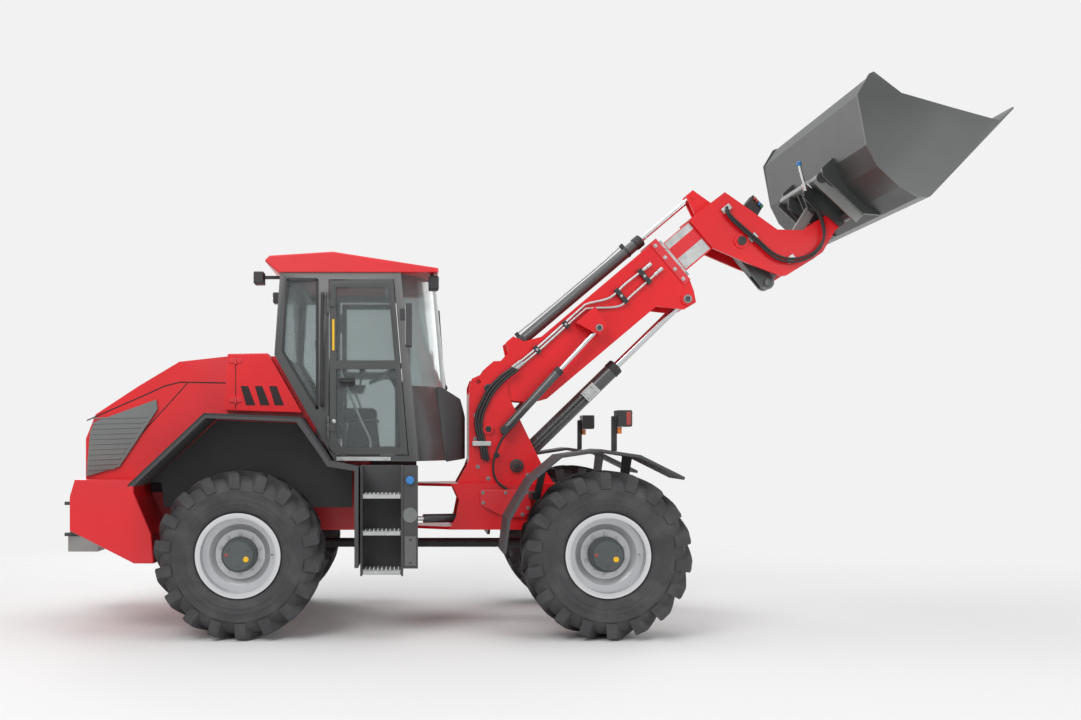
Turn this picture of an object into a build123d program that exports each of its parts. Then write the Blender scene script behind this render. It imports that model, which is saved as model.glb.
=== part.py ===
# Articulated wheel loader with a telescopic boom and a general purpose bucket.
# Millimetres, +X forward, +Y to the machine's left, +Z up, wheels standing on Z = 0.
# The origin lies on the ground below the middle of the machine as it is posed.
import os
from math import asin, cos, degrees, hypot, pi, radians, sin, tan

from build123d import *

os.makedirs("parts", exist_ok=True)

# Running gear
TYRE_RADIUS = 655.0
TYRE_WIDTH = 500.0
TRACK_HALF = 935.0
LUG_COUNT = 18
LUG_HEIGHT = 42.0
LUG_WIDTH = 84.0
LUG_TAPER = 6.0
WHEEL_SIDES = 24
LUG_SLANT = 38.0
RIM_RADIUS = 305.0
RIM_FLANGE_R = 330.0
RIM_HALF_WIDTH = 205.0
RIM_WALL = 14.0
DISC_Y = 60.0
HUB_RADIUS = 135.0
HUB_REACH = 205.0
HUB_BODY_R = 170.0
HUB_BACK_Y = 115.0
SPINDLE_R = 60.0
AXLE_Z = TYRE_RADIUS

# Frames, measured from the upright articulation pivot
PIVOT_X = -850.0
REAR_REACH = 1310.0
FRONT_REACH = 1550.0
REAR_AXLE_X = PIVOT_X - REAR_REACH
FRONT_AXLE_X = PIVOT_X + FRONT_REACH
AXLE_TUBE_R = 95.0
DIFF_RADIUS = 180.0
DIFF_HALF_WIDTH = 230.0
PINION_REACH = 260.0
SHAFT_R = 40.0
FRAME_BOTTOM_Z = 790.0
FRAME_TOP_Z = 1180.0
FRAME_PLATE = 24.0
TONGUE_R = 95.0
REAR_TONGUE_R = 68.0
FRAME_HALF = 310.0
PIVOT_PIN_R = 38.0
PIN_GAP = 0.4
SEAT_GAP = 0.3
MOVE_GAP = 8.0

# Boom, in a frame that lies along it from its pivot
BOOM_ANGLE = 40.2
BOOM_PIVOT_X = -160.0
BOOM_PIVOT_Z = 1990.0
BOOM_HALF_WIDTH = 185.0
BOOM_TOP_V = 45.0
BOOM_BOTTOM_V = -392.0
BOOM_WALL = 16.0
BOOM_BOX_U = 330.0
BOOM_END_U = 1930.0
BOOM_BOSS_R = 128.0
BOOM_PIN_R = 45.0
INNER_HALF_WIDTH = 140.0
INNER_TOP_V = -18.0
INNER_BOTTOM_V = -325.0
INNER_START_U = 800.0
INNER_WALL = 14.0
COLLAR_LENGTH = 70.0
HEAD_START_U = 2258.0
TELE_LUG_REACH = 187.0
TELE_HEAD_U = HEAD_START_U + TELE_LUG_REACH
TOWER_PLATE = 30.0
TOWER_INNER_Y = BOOM_HALF_WIDTH + MOVE_GAP
TOWER_OUTER_Y = TOWER_INNER_Y + TOWER_PLATE

# Hydraulic cylinders
LIFT_BASE = (80.0, 1330.0)
LIFT_HEAD_UV = (1803.0, -516.0)
LIFT_BARREL_R = 67.0
LIFT_BARREL_LENGTH = 1245.0
LIFT_ROD_R = 34.0
LIFT_PIN_R = 35.0
LIFT_EYE_HALF = 60.0
SIDE_BASE = (-26.0, 1636.0)
SIDE_HEAD_UV = (1040.0, -211.0)
SIDE_BARREL_R = 37.0
SIDE_BARREL_LENGTH = 700.0
SIDE_ROD_R = 20.0
SIDE_PIN_R = 20.0
SIDE_Y = 272.0
SIDE_EYE_HALF = 32.0
TELE_V = 130.0
TELE_BASE_U = 414.0
TELE_BARREL_R = 48.0
TELE_BARREL_LENGTH = 1465.0
TELE_ROD_R = 24.0
TELE_ROD_LENGTH = 1450.0
STEER_BASE = (-250.0, -110.0)
STEER_HEAD = (-1120.0, -340.0)
STEER_Z = 880.0
STEER_BARREL_R = 38.0
STEER_BARREL_LENGTH = 480.0
STEER_ROD_LENGTH = 575.0
STEER_ROD_R = 20.0
STEER_PIN_R = 22.0

# Tilt linkage, hitch and bucket
LEVER_PIN_UV = (2484.0, -435.0)
LEVER_END_UV = (2461.0, -862.0)
HITCH_PIN_UV = (3262.0, -819.0)
LINK_PIN_AB = (-60.0, 200.0)
BUCKET_ANGLE = 46.5
HITCH_PIN_R = 35.0
HITCH_PIN_START = 110.0
HEAD_HALF_WIDTH = 172.0
HEAD_PLATE = 28.0
LEVER_PIN_R = 40.0
LINK_HALF = 26.0
LINK_PIN_R = 24.0
LEVER_HALF = 62.0
HITCH_BAR_R = 42.0
LASHING_EYE = (-247.0, 2047.0)
LASHING_EYE_R = 22.0
HOOK_Y = 470.0
HOOK_PLATE = 30.0
BUCKET_HALF_WIDTH = 1150.0
BUCKET_SIDE = 22.0
BUCKET_SHELL = 16.0

# Cab, hood and body
CAB_HALF_WIDTH = 800.0
CAB_WALL = 60.0
CAB_FLOOR_Z = 1379.0
CAB_FLOOR = 40.0
CAB_TOP_Z = 2895.0
SCREEN_BASE_Z = 1990.0
SCREEN_BULGE = 300.0
SCREEN_HALF = 735.0
SCREEN_LEAN = 0.0963
ROOF_TOP_Z = 3062.0
DOOR_REAR_X = -1484.0
DOOR_GAP = 8.0
DOOR_THICK = 40.0
DOOR_HINGE_ZS = (1650.0, 2650.0)
HINGE_X = DOOR_REAR_X - 6.0
HINGE_Y = CAB_HALF_WIDTH + 14.0
HINGE_R = 12.0
HINGE_LENGTH = 60.0
GLASS_THICK = 8.0
HOOD_HALF_WIDTH = 640.0
HOOD_WALL = 22.0
BODY_REAR_X = -3490.0
BODY_SPLIT_Z = 1235.0
TOW_PIN_R = 22.0
FENDER_OUTER_Y = 1140.0
FENDER_ARM_Y = 640.0
CHASSIS_HALF = 330.0
STEP_INNER_Y = CAB_HALF_WIDTH + 12.0
STEP_OUTER_Y = 1080.0
CHASSIS_PLATE = 30.0

boom_cos = cos(radians(BOOM_ANGLE))
boom_sin = sin(radians(BOOM_ANGLE))
tilt_cos = cos(radians(BUCKET_ANGLE))
tilt_sin = sin(radians(BUCKET_ANGLE))


def boom_point(u, v):
    """World X and Z of a point given along and across the boom."""
    return (BOOM_PIVOT_X + u * boom_cos - v * boom_sin, BOOM_PIVOT_Z + u * boom_sin + v * boom_cos)


HITCH_X, HITCH_Z = boom_point(*HITCH_PIN_UV)


def bucket_point(a, b):
    """World X and Z of a point given along and above the bucket's floor, from the hitch pin."""
    return (HITCH_X + a * tilt_cos - b * tilt_sin, HITCH_Z + a * tilt_sin + b * tilt_cos)


def side_plane(y):
    """Plane along the machine's side, its local axes forward and up, its normal to the right."""
    return Plane(origin=(0, y, 0), x_dir=(1, 0, 0), z_dir=(0, -1, 0))


def boom_plane(y):
    return Plane(
        origin=(BOOM_PIVOT_X, y, BOOM_PIVOT_Z), x_dir=(boom_cos, 0, boom_sin), z_dir=(0, -1, 0)
    )


def bucket_plane(y):
    return Plane(origin=(HITCH_X, y, HITCH_Z), x_dir=(tilt_cos, 0, tilt_sin), z_dir=(0, -1, 0))


def boom_section(u):
    """Plane across the boom, its local axes to the left and up, its normal along the boom."""
    x, z = boom_point(u, 0)
    return Plane(origin=(x, 0, z), x_dir=(0, 1, 0), z_dir=(boom_cos, 0, boom_sin))


def outline(plane, points, corner=0.0):
    """Closed polygon on a plane, with its corners rounded where a radius is given."""
    with BuildSketch(plane, mode=Mode.PRIVATE) as shape:
        Polygon(*points, align=None)
        if corner:
            fillet(shape.vertices(), corner)
    return shape.sketch


def disc(plane, centre, radius):
    with BuildSketch(plane, mode=Mode.PRIVATE) as shape:
        with Locations(centre):
            Circle(radius)
    return shape.sketch


def strap(plane, start, start_r, end, end_r):
    """Tapered plate with round ends about two points."""
    with BuildSketch(plane, mode=Mode.PRIVATE) as shape:
        with Locations(start):
            Circle(start_r)
        with Locations(end):
            Circle(end_r)
        make_hull()
    return shape.sketch


def stroke_plane(base, head, y):
    """Plane at a cylinder's lower pin in the side view, its normal towards the upper pin."""
    dx, dz = head[0] - base[0], head[1] - base[1]
    span = hypot(dx, dz)
    return Plane(origin=(base[0], y, base[1]), x_dir=(0, 1, 0), z_dir=(dx / span, 0, dz / span))


def save(builder, label):
    builder.part.label = label
    export_step(builder.part, f"parts/{label}.step")


# Tyres: a carcass of flat facets with tapered chevron lugs
tread_base_r = TYRE_RADIUS - LUG_HEIGHT
tyre_half = TYRE_WIDTH / 2
bead_y = RIM_HALF_WIDTH - 4
bore_r = (RIM_RADIUS + SEAT_GAP) / cos(pi / WHEEL_SIDES)
half_tread = [
    (525, tyre_half - 6),
    (tread_base_r, tyre_half - 88),
]
bead_dish = [
    (RIM_FLANGE_R + 8, bead_y),
    (RIM_FLANGE_R + 24, tyre_half - 22),
    (440, tyre_half - 4),
]


def both_halves(points):
    """Outline of a turned shape from the half of it on the left."""
    return points + [(r, -y) for r, y in reversed(points)]


def faceted(rings):
    """Solid through polygons about the Y axis, each ring given as its radius and place."""
    with BuildPart(mode=Mode.PRIVATE) as form:
        for radius, y in rings:
            with BuildSketch(Plane(origin=(0, y, 0), x_dir=(1, 0, 0), z_dir=(0, 1, 0))):
                RegularPolygon(radius, WHEEL_SIDES)
        loft(ruled=True)
    return form.part


with BuildPart() as tyre_form:
    add(faceted(both_halves(half_tread)))
    add(faceted([(bore_r, -TYRE_WIDTH), (bore_r, TYRE_WIDTH)]), mode=Mode.SUBTRACT)
    add(faceted(bead_dish), mode=Mode.SUBTRACT)
    add(faceted([(r, -y) for r, y in bead_dish]), mode=Mode.SUBTRACT)
    lug_root_r = tread_base_r - 95
    lug_plane = Plane(origin=(0, 0, lug_root_r), x_dir=(1, 0, 0), z_dir=(0, 0, 1))
    drift = tyre_half * tan(radians(LUG_SLANT))
    edge_slope = drift / (tyre_half + 18)
    lug_rise = TYRE_RADIUS - lug_root_r
    for settling in range(4):
        edge_inset = lug_rise * tan(radians(LUG_TAPER)) * (edge_slope + hypot(1, edge_slope))
        crown_reach = drift / 2 + LUG_WIDTH / 2 - edge_inset
        lug_rise = (TYRE_RADIUS ** 2 - crown_reach ** 2) ** 0.5 - lug_root_r
    corner_turn = degrees(asin(crown_reach / TYRE_RADIUS))
    bars = []
    for hand in (1, -1):
        foot = [
            (-drift / 2 - LUG_WIDTH / 2, -18 * hand),
            (-drift / 2 + LUG_WIDTH / 2, -18 * hand),
            (drift / 2 + LUG_WIDTH / 2, tyre_half * hand),
            (drift / 2 - LUG_WIDTH * 0.7, tyre_half * hand),
        ]
        bar = extrude(outline(lug_plane, foot), amount=lug_rise, taper=LUG_TAPER, mode=Mode.PRIVATE)
        pitch = 360.0 / LUG_COUNT
        for step in range(LUG_COUNT):
            bars.append(bar.rotate(Axis.Y, (step + 0.25 - 0.25 * hand) * pitch - corner_turn))
    add(bars)

# Rims: drop centre, dished disc and planetary hub, the outer face towards +Y
with BuildPart() as rim_form:
    inner_r = RIM_RADIUS - RIM_WALL
    flange_y = RIM_HALF_WIDTH + RIM_WALL
    barrel = [
        (inner_r, -flange_y),
        (RIM_FLANGE_R, -flange_y),
        (RIM_FLANGE_R, -RIM_HALF_WIDTH),
        (RIM_RADIUS, -RIM_HALF_WIDTH),
        (RIM_RADIUS, RIM_HALF_WIDTH),
        (RIM_FLANGE_R, RIM_HALF_WIDTH),
        (RIM_FLANGE_R, flange_y),
        (inner_r, flange_y),
    ]
    dish = [
        (HUB_RADIUS - 40, DISC_Y),
        (HUB_BODY_R + 30, DISC_Y),
        (245, DISC_Y + 30),
        (inner_r + 2, DISC_Y + 40),
        (inner_r + 2, DISC_Y + 58),
        (240, DISC_Y + 50),
        (HUB_BODY_R + 24, DISC_Y + 20),
        (HUB_RADIUS - 40, DISC_Y + 20),
    ]
    hub = [
        (0, -20),
        (SPINDLE_R + PIN_GAP, -20),
        (SPINDLE_R + PIN_GAP, -HUB_BACK_Y),
        (HUB_BODY_R, -HUB_BACK_Y),
        (HUB_BODY_R, DISC_Y + 1),
        (HUB_RADIUS, DISC_Y + 10),
        (HUB_RADIUS - 4, HUB_REACH - 30),
        (HUB_RADIUS - 26, HUB_REACH),
        (0, HUB_REACH),
    ]
    for section in (barrel, dish, hub):
        revolve(outline(Plane.XY, section), axis=Axis.Y)

for side_name, side in (("left", 1), ("right", -1)):
    for end_name, axle_x in (("front", FRONT_AXLE_X), ("rear", REAR_AXLE_X)):
        for form, piece_name in ((tyre_form, "tyre"), (rim_form, "rim")):
            solid = form.part if side > 0 else mirror(form.part, about=Plane.XZ, mode=Mode.PRIVATE)
            with BuildPart() as piece:
                with Locations((axle_x, side * TRACK_HALF, AXLE_Z)):
                    add(solid)
            save(piece, f"{piece_name}_{end_name}_{side_name}")

# Axles: banjo housing, tubes, end flanges and spindles, with pads up to the frame
flange_face_y = TRACK_HALF - HUB_BACK_Y - SEAT_GAP
half_housing = [
    (0, TRACK_HALF - 25),
    (SPINDLE_R, TRACK_HALF - 25),
    (SPINDLE_R, flange_face_y),
    (HUB_BODY_R - 6, flange_face_y),
    (HUB_BODY_R - 6, flange_face_y - 60),
    (AXLE_TUBE_R, flange_face_y - 110),
    (AXLE_TUBE_R, DIFF_HALF_WIDTH),
    (DIFF_RADIUS, DIFF_HALF_WIDTH * 0.45),
]
for end_name, axle_x, inward in (("front", FRONT_AXLE_X, -1), ("rear", REAR_AXLE_X, 1)):
    with BuildPart() as axle:
        with BuildSketch(Plane(origin=(axle_x, 0, AXLE_Z))):
            Polygon(*both_halves(half_housing), align=None)
        revolve(axis=Axis((axle_x, 0, AXLE_Z), (0, 1, 0)))
        with Locations((axle_x + inward * PINION_REACH / 2, 0, AXLE_Z)):
            Cylinder(85, PINION_REACH, rotation=(0, 90, 0))
        pad_height = FRAME_BOTTOM_Z - SEAT_GAP - AXLE_Z
        for pad_y in (-270, 270):
            with Locations((axle_x, pad_y, AXLE_Z + pad_height / 2)):
                Box(220, 90, pad_height)
    save(axle, f"{end_name}_axle")

# Propeller shaft from the articulation joint to the front axle
with BuildPart() as drive_shaft:
    shaft_start = PIVOT_X + 40
    shaft_end = FRONT_AXLE_X - PINION_REACH - SEAT_GAP
    with Locations(((shaft_start + shaft_end) / 2, 0, AXLE_Z)):
        Cylinder(SHAFT_R, shaft_end - shaft_start, rotation=(0, 90, 0))
    with Locations((shaft_start + 12, 0, AXLE_Z), (shaft_end - 12, 0, AXLE_Z)):
        Cylinder(SHAFT_R + 26, 24, rotation=(0, 90, 0))
save(drive_shaft, "drive_shaft")

# Rear chassis: side plates, cross plates and the tongue that carries the pivot pin
tongue_top = FRAME_TOP_Z - FRAME_PLATE - MOVE_GAP
tongue_bottom = FRAME_BOTTOM_Z + FRAME_PLATE + MOVE_GAP
with BuildPart() as rear_chassis:
    rail = [
        (BODY_REAR_X + 90, 800),
        (REAR_AXLE_X - 260, FRAME_BOTTOM_Z),
        (PIVOT_X - 330, FRAME_BOTTOM_Z),
        (PIVOT_X - 330, CAB_FLOOR_Z - SEAT_GAP),
        (PIVOT_X - 620, CAB_FLOOR_Z - SEAT_GAP),
        (PIVOT_X - 740, BODY_SPLIT_Z - 5),
        (REAR_AXLE_X + 300, 1110),
        (BODY_REAR_X + 90, 1110),
    ]
    extrude(outline(side_plane(CHASSIS_HALF), rail), amount=CHASSIS_PLATE)
    mirror(about=Plane.XZ)
    with Locations((PIVOT_X - 345, 0, 1060)):
        Box(30, 2 * CHASSIS_HALF + 130, 540)
    for hand in (1, -1):
        outrigger_end = STEP_INNER_Y - SEAT_GAP
        with Locations((PIVOT_X - 345, (CHASSIS_HALF - 2 + outrigger_end) / 2 * hand, 1240)):
            Box(30, outrigger_end - CHASSIS_HALF + 2, 90)
    with Locations((REAR_AXLE_X - 500, 0, 950)):
        Box(30, 2 * CHASSIS_HALF, 300)
    with Locations((BODY_REAR_X + 110, 0, 955)):
        Box(40, 2 * CHASSIS_HALF, 310)
    with BuildSketch(Plane.XY.offset(tongue_bottom), mode=Mode.PRIVATE) as tongue:
        with Locations((PIVOT_X, 0)):
            Circle(REAR_TONGUE_R)
        with Locations((PIVOT_X - 345, 0)):
            Rectangle(20, 220)
        make_hull()
    extrude(tongue.sketch, amount=tongue_top - tongue_bottom)
    with Locations((PIVOT_X, 0, (FRAME_BOTTOM_Z + FRAME_TOP_Z) / 2)):
        Cylinder(PIVOT_PIN_R, FRAME_TOP_Z - FRAME_BOTTOM_Z + 10)
    for z in (STEER_Z - 48, STEER_Z + 30):
        with BuildSketch(Plane.XY.offset(z), mode=Mode.PRIVATE) as ear:
            with Locations(STEER_HEAD):
                Circle(44)
            with Locations((PIVOT_X - 340, STEER_HEAD[1])):
                Rectangle(20, 100)
            make_hull()
        extrude(ear.sketch, amount=18)
    with Locations((PIVOT_X - 350, STEER_HEAD[1], STEER_Z)):
        Box(60, 220, 60, mode=Mode.SUBTRACT)
save(rear_chassis, "rear_chassis")

# Front chassis: frame and tower plates, floor, decks and the fixed pins
with BuildPart() as front_chassis:
    frame_side = [
        (PIVOT_X + 350, FRAME_BOTTOM_Z),
        (PIVOT_X + 410, 900),
        (PIVOT_X + 437, 1037),
        (PIVOT_X + 372, FRAME_TOP_Z),
        (420, FRAME_TOP_Z),
        (FRONT_AXLE_X + 250, 1040),
        (FRONT_AXLE_X + 250, 840),
        (FRONT_AXLE_X + 115, FRAME_BOTTOM_Z),
    ]
    extrude(outline(side_plane(FRAME_HALF), frame_side), amount=FRAME_PLATE)
    tower = [
        (-430, FRAME_TOP_Z - 5),
        (-345, 1330),
        (-324, 1390),
        (-324, 2010),
        (-300, 2075),
        (-235, 2105),
        (-150, 2150),
        (-60, 2130),
        (0, 2060),
        (10, 1930),
        (299, 1337),
        (400, FRAME_TOP_Z - 5),
    ]
    extrude(outline(side_plane(TOWER_OUTER_Y), tower), amount=TOWER_PLATE)
    mirror(about=Plane.XZ)
    for z in (FRAME_BOTTOM_Z, FRAME_TOP_Z - FRAME_PLATE):
        with BuildSketch(Plane.XY.offset(z), mode=Mode.PRIVATE) as tongue:
            with Locations((PIVOT_X, 0)):
                Circle(TONGUE_R)
            with Locations((PIVOT_X + 400, 0)):
                Rectangle(60, 2 * FRAME_HALF - 10)
            make_hull()
            with Locations((PIVOT_X, 0)):
                Circle(PIVOT_PIN_R + PIN_GAP, mode=Mode.SUBTRACT)
        extrude(tongue.sketch, amount=FRAME_PLATE)
    floor_start, floor_end = PIVOT_X + 400, FRONT_AXLE_X - DIFF_RADIUS - 20
    inside_width = 2 * FRAME_HALF - 10
    with Locations(((floor_start + floor_end) / 2, 0, FRAME_BOTTOM_Z + FRAME_PLATE / 2)):
        Box(floor_end - floor_start, inside_width, FRAME_PLATE)
    for hand in (1, -1):
        with Locations((0, (TOWER_INNER_Y + FRAME_HALF) / 2 * hand, FRAME_TOP_Z - FRAME_PLATE / 2)):
            Box(840, FRAME_HALF - TOWER_INNER_Y, FRAME_PLATE)
    with Locations((-315, 0, (FRAME_TOP_Z + 1960) / 2 - 10)):
        Box(18, 2 * TOWER_INNER_Y + 4, 1960 - FRAME_TOP_Z)
    with Locations((-395, 0, FRAME_TOP_Z - FRAME_PLATE / 2)):
        Box(150, inside_width, FRAME_PLATE)
    with Locations((FRONT_AXLE_X + 235, 0, 895)):
        Box(30, inside_width, 110)
    pin_half = TOWER_OUTER_Y + 16
    for centre, radius in (((BOOM_PIVOT_X, BOOM_PIVOT_Z), BOOM_PIN_R), (LIFT_BASE, LIFT_PIN_R)):
        extrude(disc(side_plane(0), centre, radius), amount=pin_half, both=True)
    for hand in (1, -1):
        for centre in ((-162, 1644), (-93, 1421)):
            extrude(disc(side_plane(TOWER_OUTER_Y * hand), centre, 46), amount=-22 * hand)
    with Locations((STEER_BASE[0], STEER_BASE[1], (FRAME_BOTTOM_Z + STEER_Z + 34) / 2)):
        Cylinder(STEER_PIN_R, STEER_Z + 34 - FRAME_BOTTOM_Z)
    eye_hole = disc(side_plane(0), LASHING_EYE, LASHING_EYE_R)
    extrude(eye_hole, amount=TOWER_OUTER_Y + 5, both=True, mode=Mode.SUBTRACT)
save(front_chassis, "front_chassis")

# Headed pins of the side cylinders, standing on the tower plates
with BuildPart() as side_pins:
    for hand in (1, -1):
        pin_start = TOWER_OUTER_Y + SEAT_GAP
        head_start = SIDE_Y + SIDE_BARREL_R + 2
        shank = disc(side_plane(pin_start * hand), SIDE_BASE, SIDE_PIN_R)
        extrude(shank, amount=-(head_start + 2 - pin_start) * hand)
        extrude(disc(side_plane(head_start * hand), SIDE_BASE, SIDE_PIN_R + 16), amount=-14 * hand)
save(side_pins, "side_pins")

# Outer boom: box with a front collar, pivot boss, lugs and cylinder brackets
with BuildPart() as outer_boom:
    cheek = [
        (BOOM_END_U, BOOM_TOP_V),
        (640, BOOM_TOP_V),
        (500, 110),
        (455, 205),
        (375, 205),
        (330, 120),
        (240, 110),
        (190, 150),
        (100, 150),
        (-40, 110),
        (-BOOM_BOSS_R + 5, 30),
        (-60, -90),
        (62, -182),
        (200, -320),
        (BOOM_BOX_U, BOOM_BOTTOM_V),
        (1560, BOOM_BOTTOM_V),
        (LIFT_HEAD_UV[0] - 80, LIFT_HEAD_UV[1] - 50),
        (LIFT_HEAD_UV[0] + 40, LIFT_HEAD_UV[1] - 70),
        (LIFT_HEAD_UV[0] + 90, LIFT_HEAD_UV[1] + 20),
        (BOOM_END_U, BOOM_BOTTOM_V),
    ]
    extrude(outline(boom_plane(BOOM_HALF_WIDTH), cheek), amount=BOOM_WALL)
    mirror(about=Plane.XZ)
    inner_y = BOOM_HALF_WIDTH - BOOM_WALL
    top = [(BOOM_BOX_U, BOOM_TOP_V - BOOM_WALL), (BOOM_END_U, BOOM_TOP_V - BOOM_WALL),
           (BOOM_END_U, BOOM_TOP_V), (BOOM_BOX_U, BOOM_TOP_V)]
    bottom = [(BOOM_BOX_U, BOOM_BOTTOM_V), (BOOM_END_U, BOOM_BOTTOM_V),
              (BOOM_END_U, BOOM_BOTTOM_V + BOOM_WALL), (BOOM_BOX_U, BOOM_BOTTOM_V + BOOM_WALL)]
    back = [(BOOM_BOX_U, BOOM_BOTTOM_V), (BOOM_BOX_U + BOOM_WALL, BOOM_BOTTOM_V),
            (BOOM_BOX_U + BOOM_WALL, 0), (BOOM_BOX_U, 0)]
    for section in (top, bottom, back):
        extrude(outline(boom_plane(0), section), amount=inner_y + 1, both=True)
    extrude(disc(boom_plane(0), (0, 0), BOOM_BOSS_R - 30), amount=BOOM_HALF_WIDTH, both=True)
    with BuildSketch(boom_section(BOOM_END_U - COLLAR_LENGTH), mode=Mode.PRIVATE) as collar:
        mid_v = (BOOM_TOP_V + BOOM_BOTTOM_V) / 2
        with Locations((0, mid_v)):
            Rectangle(2 * BOOM_HALF_WIDTH + 24, BOOM_TOP_V - BOOM_BOTTOM_V + 24)
        with Locations((0, (INNER_TOP_V + INNER_BOTTOM_V) / 2)):
            Rectangle(
                2 * (INNER_HALF_WIDTH + PIN_GAP),
                INNER_TOP_V - INNER_BOTTOM_V + 2 * PIN_GAP,
                mode=Mode.SUBTRACT,
            )
    extrude(collar.sketch, amount=COLLAR_LENGTH)
    for hand in (1, -1):
        stub = disc(boom_plane(BOOM_HALF_WIDTH * hand), LIFT_HEAD_UV, LIFT_PIN_R + 12)
        extrude(stub, amount=(BOOM_HALF_WIDTH - LIFT_EYE_HALF - 12) * hand)
        cap = disc(boom_plane(BOOM_HALF_WIDTH * hand), LIFT_HEAD_UV, LIFT_PIN_R + 20)
        extrude(cap, amount=-14 * hand)
        boss = disc(boom_plane(BOOM_HALF_WIDTH * hand), SIDE_HEAD_UV, 46)
        extrude(boss, amount=-(SIDE_Y - SIDE_EYE_HALF - MOVE_GAP - BOOM_HALF_WIDTH) * hand)
        ear_y = SIDE_Y + SIDE_EYE_HALF + MOVE_GAP
        side_u, side_v = SIDE_HEAD_UV
        ear = [(side_u - 120, side_v + 160), (side_u + 90, side_v + 160),
               (side_u + 60, side_v - 30), (side_u - 30, side_v - 55), (side_u - 60, side_v)]
        extrude(outline(boom_plane(ear_y * hand), ear), amount=-14 * hand)
        bridge = [(side_u - 120, side_v + 140), (side_u + 90, side_v + 140),
                  (side_u + 90, side_v + 160), (side_u - 120, side_v + 160)]
        extrude(
            outline(boom_plane(BOOM_HALF_WIDTH * hand), bridge),
            amount=-(ear_y + 14 - BOOM_HALF_WIDTH) * hand,
        )
        lug = [(340, BOOM_TOP_V - 5), (490, BOOM_TOP_V - 5), (450, 190), (380, 190)]
        extrude(outline(boom_plane(75 * hand), lug), amount=22 * hand)
    extrude(disc(boom_plane(0), (TELE_BASE_U, TELE_V), 22), amount=80, both=True)
    pocket = [(1712, BOOM_BOTTOM_V - 10), (BOOM_END_U - COLLAR_LENGTH - 2, BOOM_BOTTOM_V - 10),
              (BOOM_END_U - COLLAR_LENGTH - 2, BOOM_BOTTOM_V + 30), (1712, BOOM_BOTTOM_V + 30)]
    eye_room = LIFT_EYE_HALF + MOVE_GAP
    extrude(outline(boom_plane(0), pocket), amount=eye_room, both=True, mode=Mode.SUBTRACT)
    extrude(
        disc(boom_plane(0), (0, 0), BOOM_PIN_R + PIN_GAP),
        amount=BOOM_HALF_WIDTH + 5,
        both=True,
        mode=Mode.SUBTRACT,
    )
save(outer_boom, "outer_boom")

# Inner boom: square tube that slides in the collar
with BuildPart() as inner_boom:
    inner_height = INNER_TOP_V - INNER_BOTTOM_V
    inner_length = HEAD_START_U - SEAT_GAP - INNER_START_U
    with BuildSketch(boom_section(INNER_START_U)):
        with Locations((0, (INNER_TOP_V + INNER_BOTTOM_V) / 2)):
            Rectangle(2 * INNER_HALF_WIDTH, inner_height)
            Rectangle(
                2 * (INNER_HALF_WIDTH - INNER_WALL), inner_height - 2 * INNER_WALL, mode=Mode.SUBTRACT
            )
    extrude(amount=inner_length)
save(inner_boom, "inner_boom")

# Boom head: two gooseneck cheeks on a flange, with the lever pin and the rod's lug
with BuildPart() as boom_head:
    goose = [
        (HEAD_START_U, INNER_TOP_V + 14),
        (2646, -22),
        (2660, -68),
        (2785, -560),
        (2946, -705),
        (3150, -730),
        (3200, -740),
        (HITCH_PIN_UV[0] + 60, HITCH_PIN_UV[1] + 30),
        (HITCH_PIN_UV[0] + 60, HITCH_PIN_UV[1] - 50),
        (HITCH_PIN_UV[0], HITCH_PIN_UV[1] - 75),
        (3165, -885),
        (2955, -960),
        (2846, -950),
        (2590, -912),
        (2552, -888),
        (2396, -602),
        (HEAD_START_U, INNER_BOTTOM_V),
    ]
    extrude(outline(boom_plane(HEAD_HALF_WIDTH), goose), amount=HEAD_PLATE)
    mirror(about=Plane.XZ)
    cheek_y = HEAD_HALF_WIDTH - HEAD_PLATE
    flange = [(HEAD_START_U, INNER_BOTTOM_V), (HEAD_START_U + 24, INNER_BOTTOM_V),
              (HEAD_START_U + 24, INNER_TOP_V), (HEAD_START_U, INNER_TOP_V)]
    deck = [(HEAD_START_U, INNER_TOP_V - 6), (2640, -44), (2640, -24), (HEAD_START_U, INNER_TOP_V + 12)]
    web = [(2638, -30), (2654, -72), (2776, -552), (2756, -556), (2632, -72), (2616, -30)]
    for section in (flange, deck, web):
        extrude(outline(boom_plane(0), section), amount=cheek_y + 1, both=True)
    extrude(disc(boom_plane(0), LEVER_PIN_UV, LEVER_PIN_R), amount=HEAD_HALF_WIDTH + 20, both=True)
    for hand in (1, -1):
        boss = disc(boom_plane(HEAD_HALF_WIDTH * hand), LEVER_PIN_UV, LEVER_PIN_R + 24)
        extrude(boss, amount=-12 * hand)
        lug = [(TELE_HEAD_U - 90, -26), (TELE_HEAD_U + 90, -26),
               (TELE_HEAD_U + 40, TELE_V + 40), (TELE_HEAD_U - 40, TELE_V + 40)]
        extrude(outline(boom_plane(62 * hand), lug), amount=22 * hand)
    extrude(disc(boom_plane(0), (TELE_HEAD_U, TELE_V), 22), amount=70, both=True)
    extrude(
        disc(boom_plane(0), HITCH_PIN_UV, HITCH_PIN_R + PIN_GAP),
        amount=HEAD_HALF_WIDTH + 5,
        both=True,
        mode=Mode.SUBTRACT,
    )
save(boom_head, "boom_head")

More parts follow.
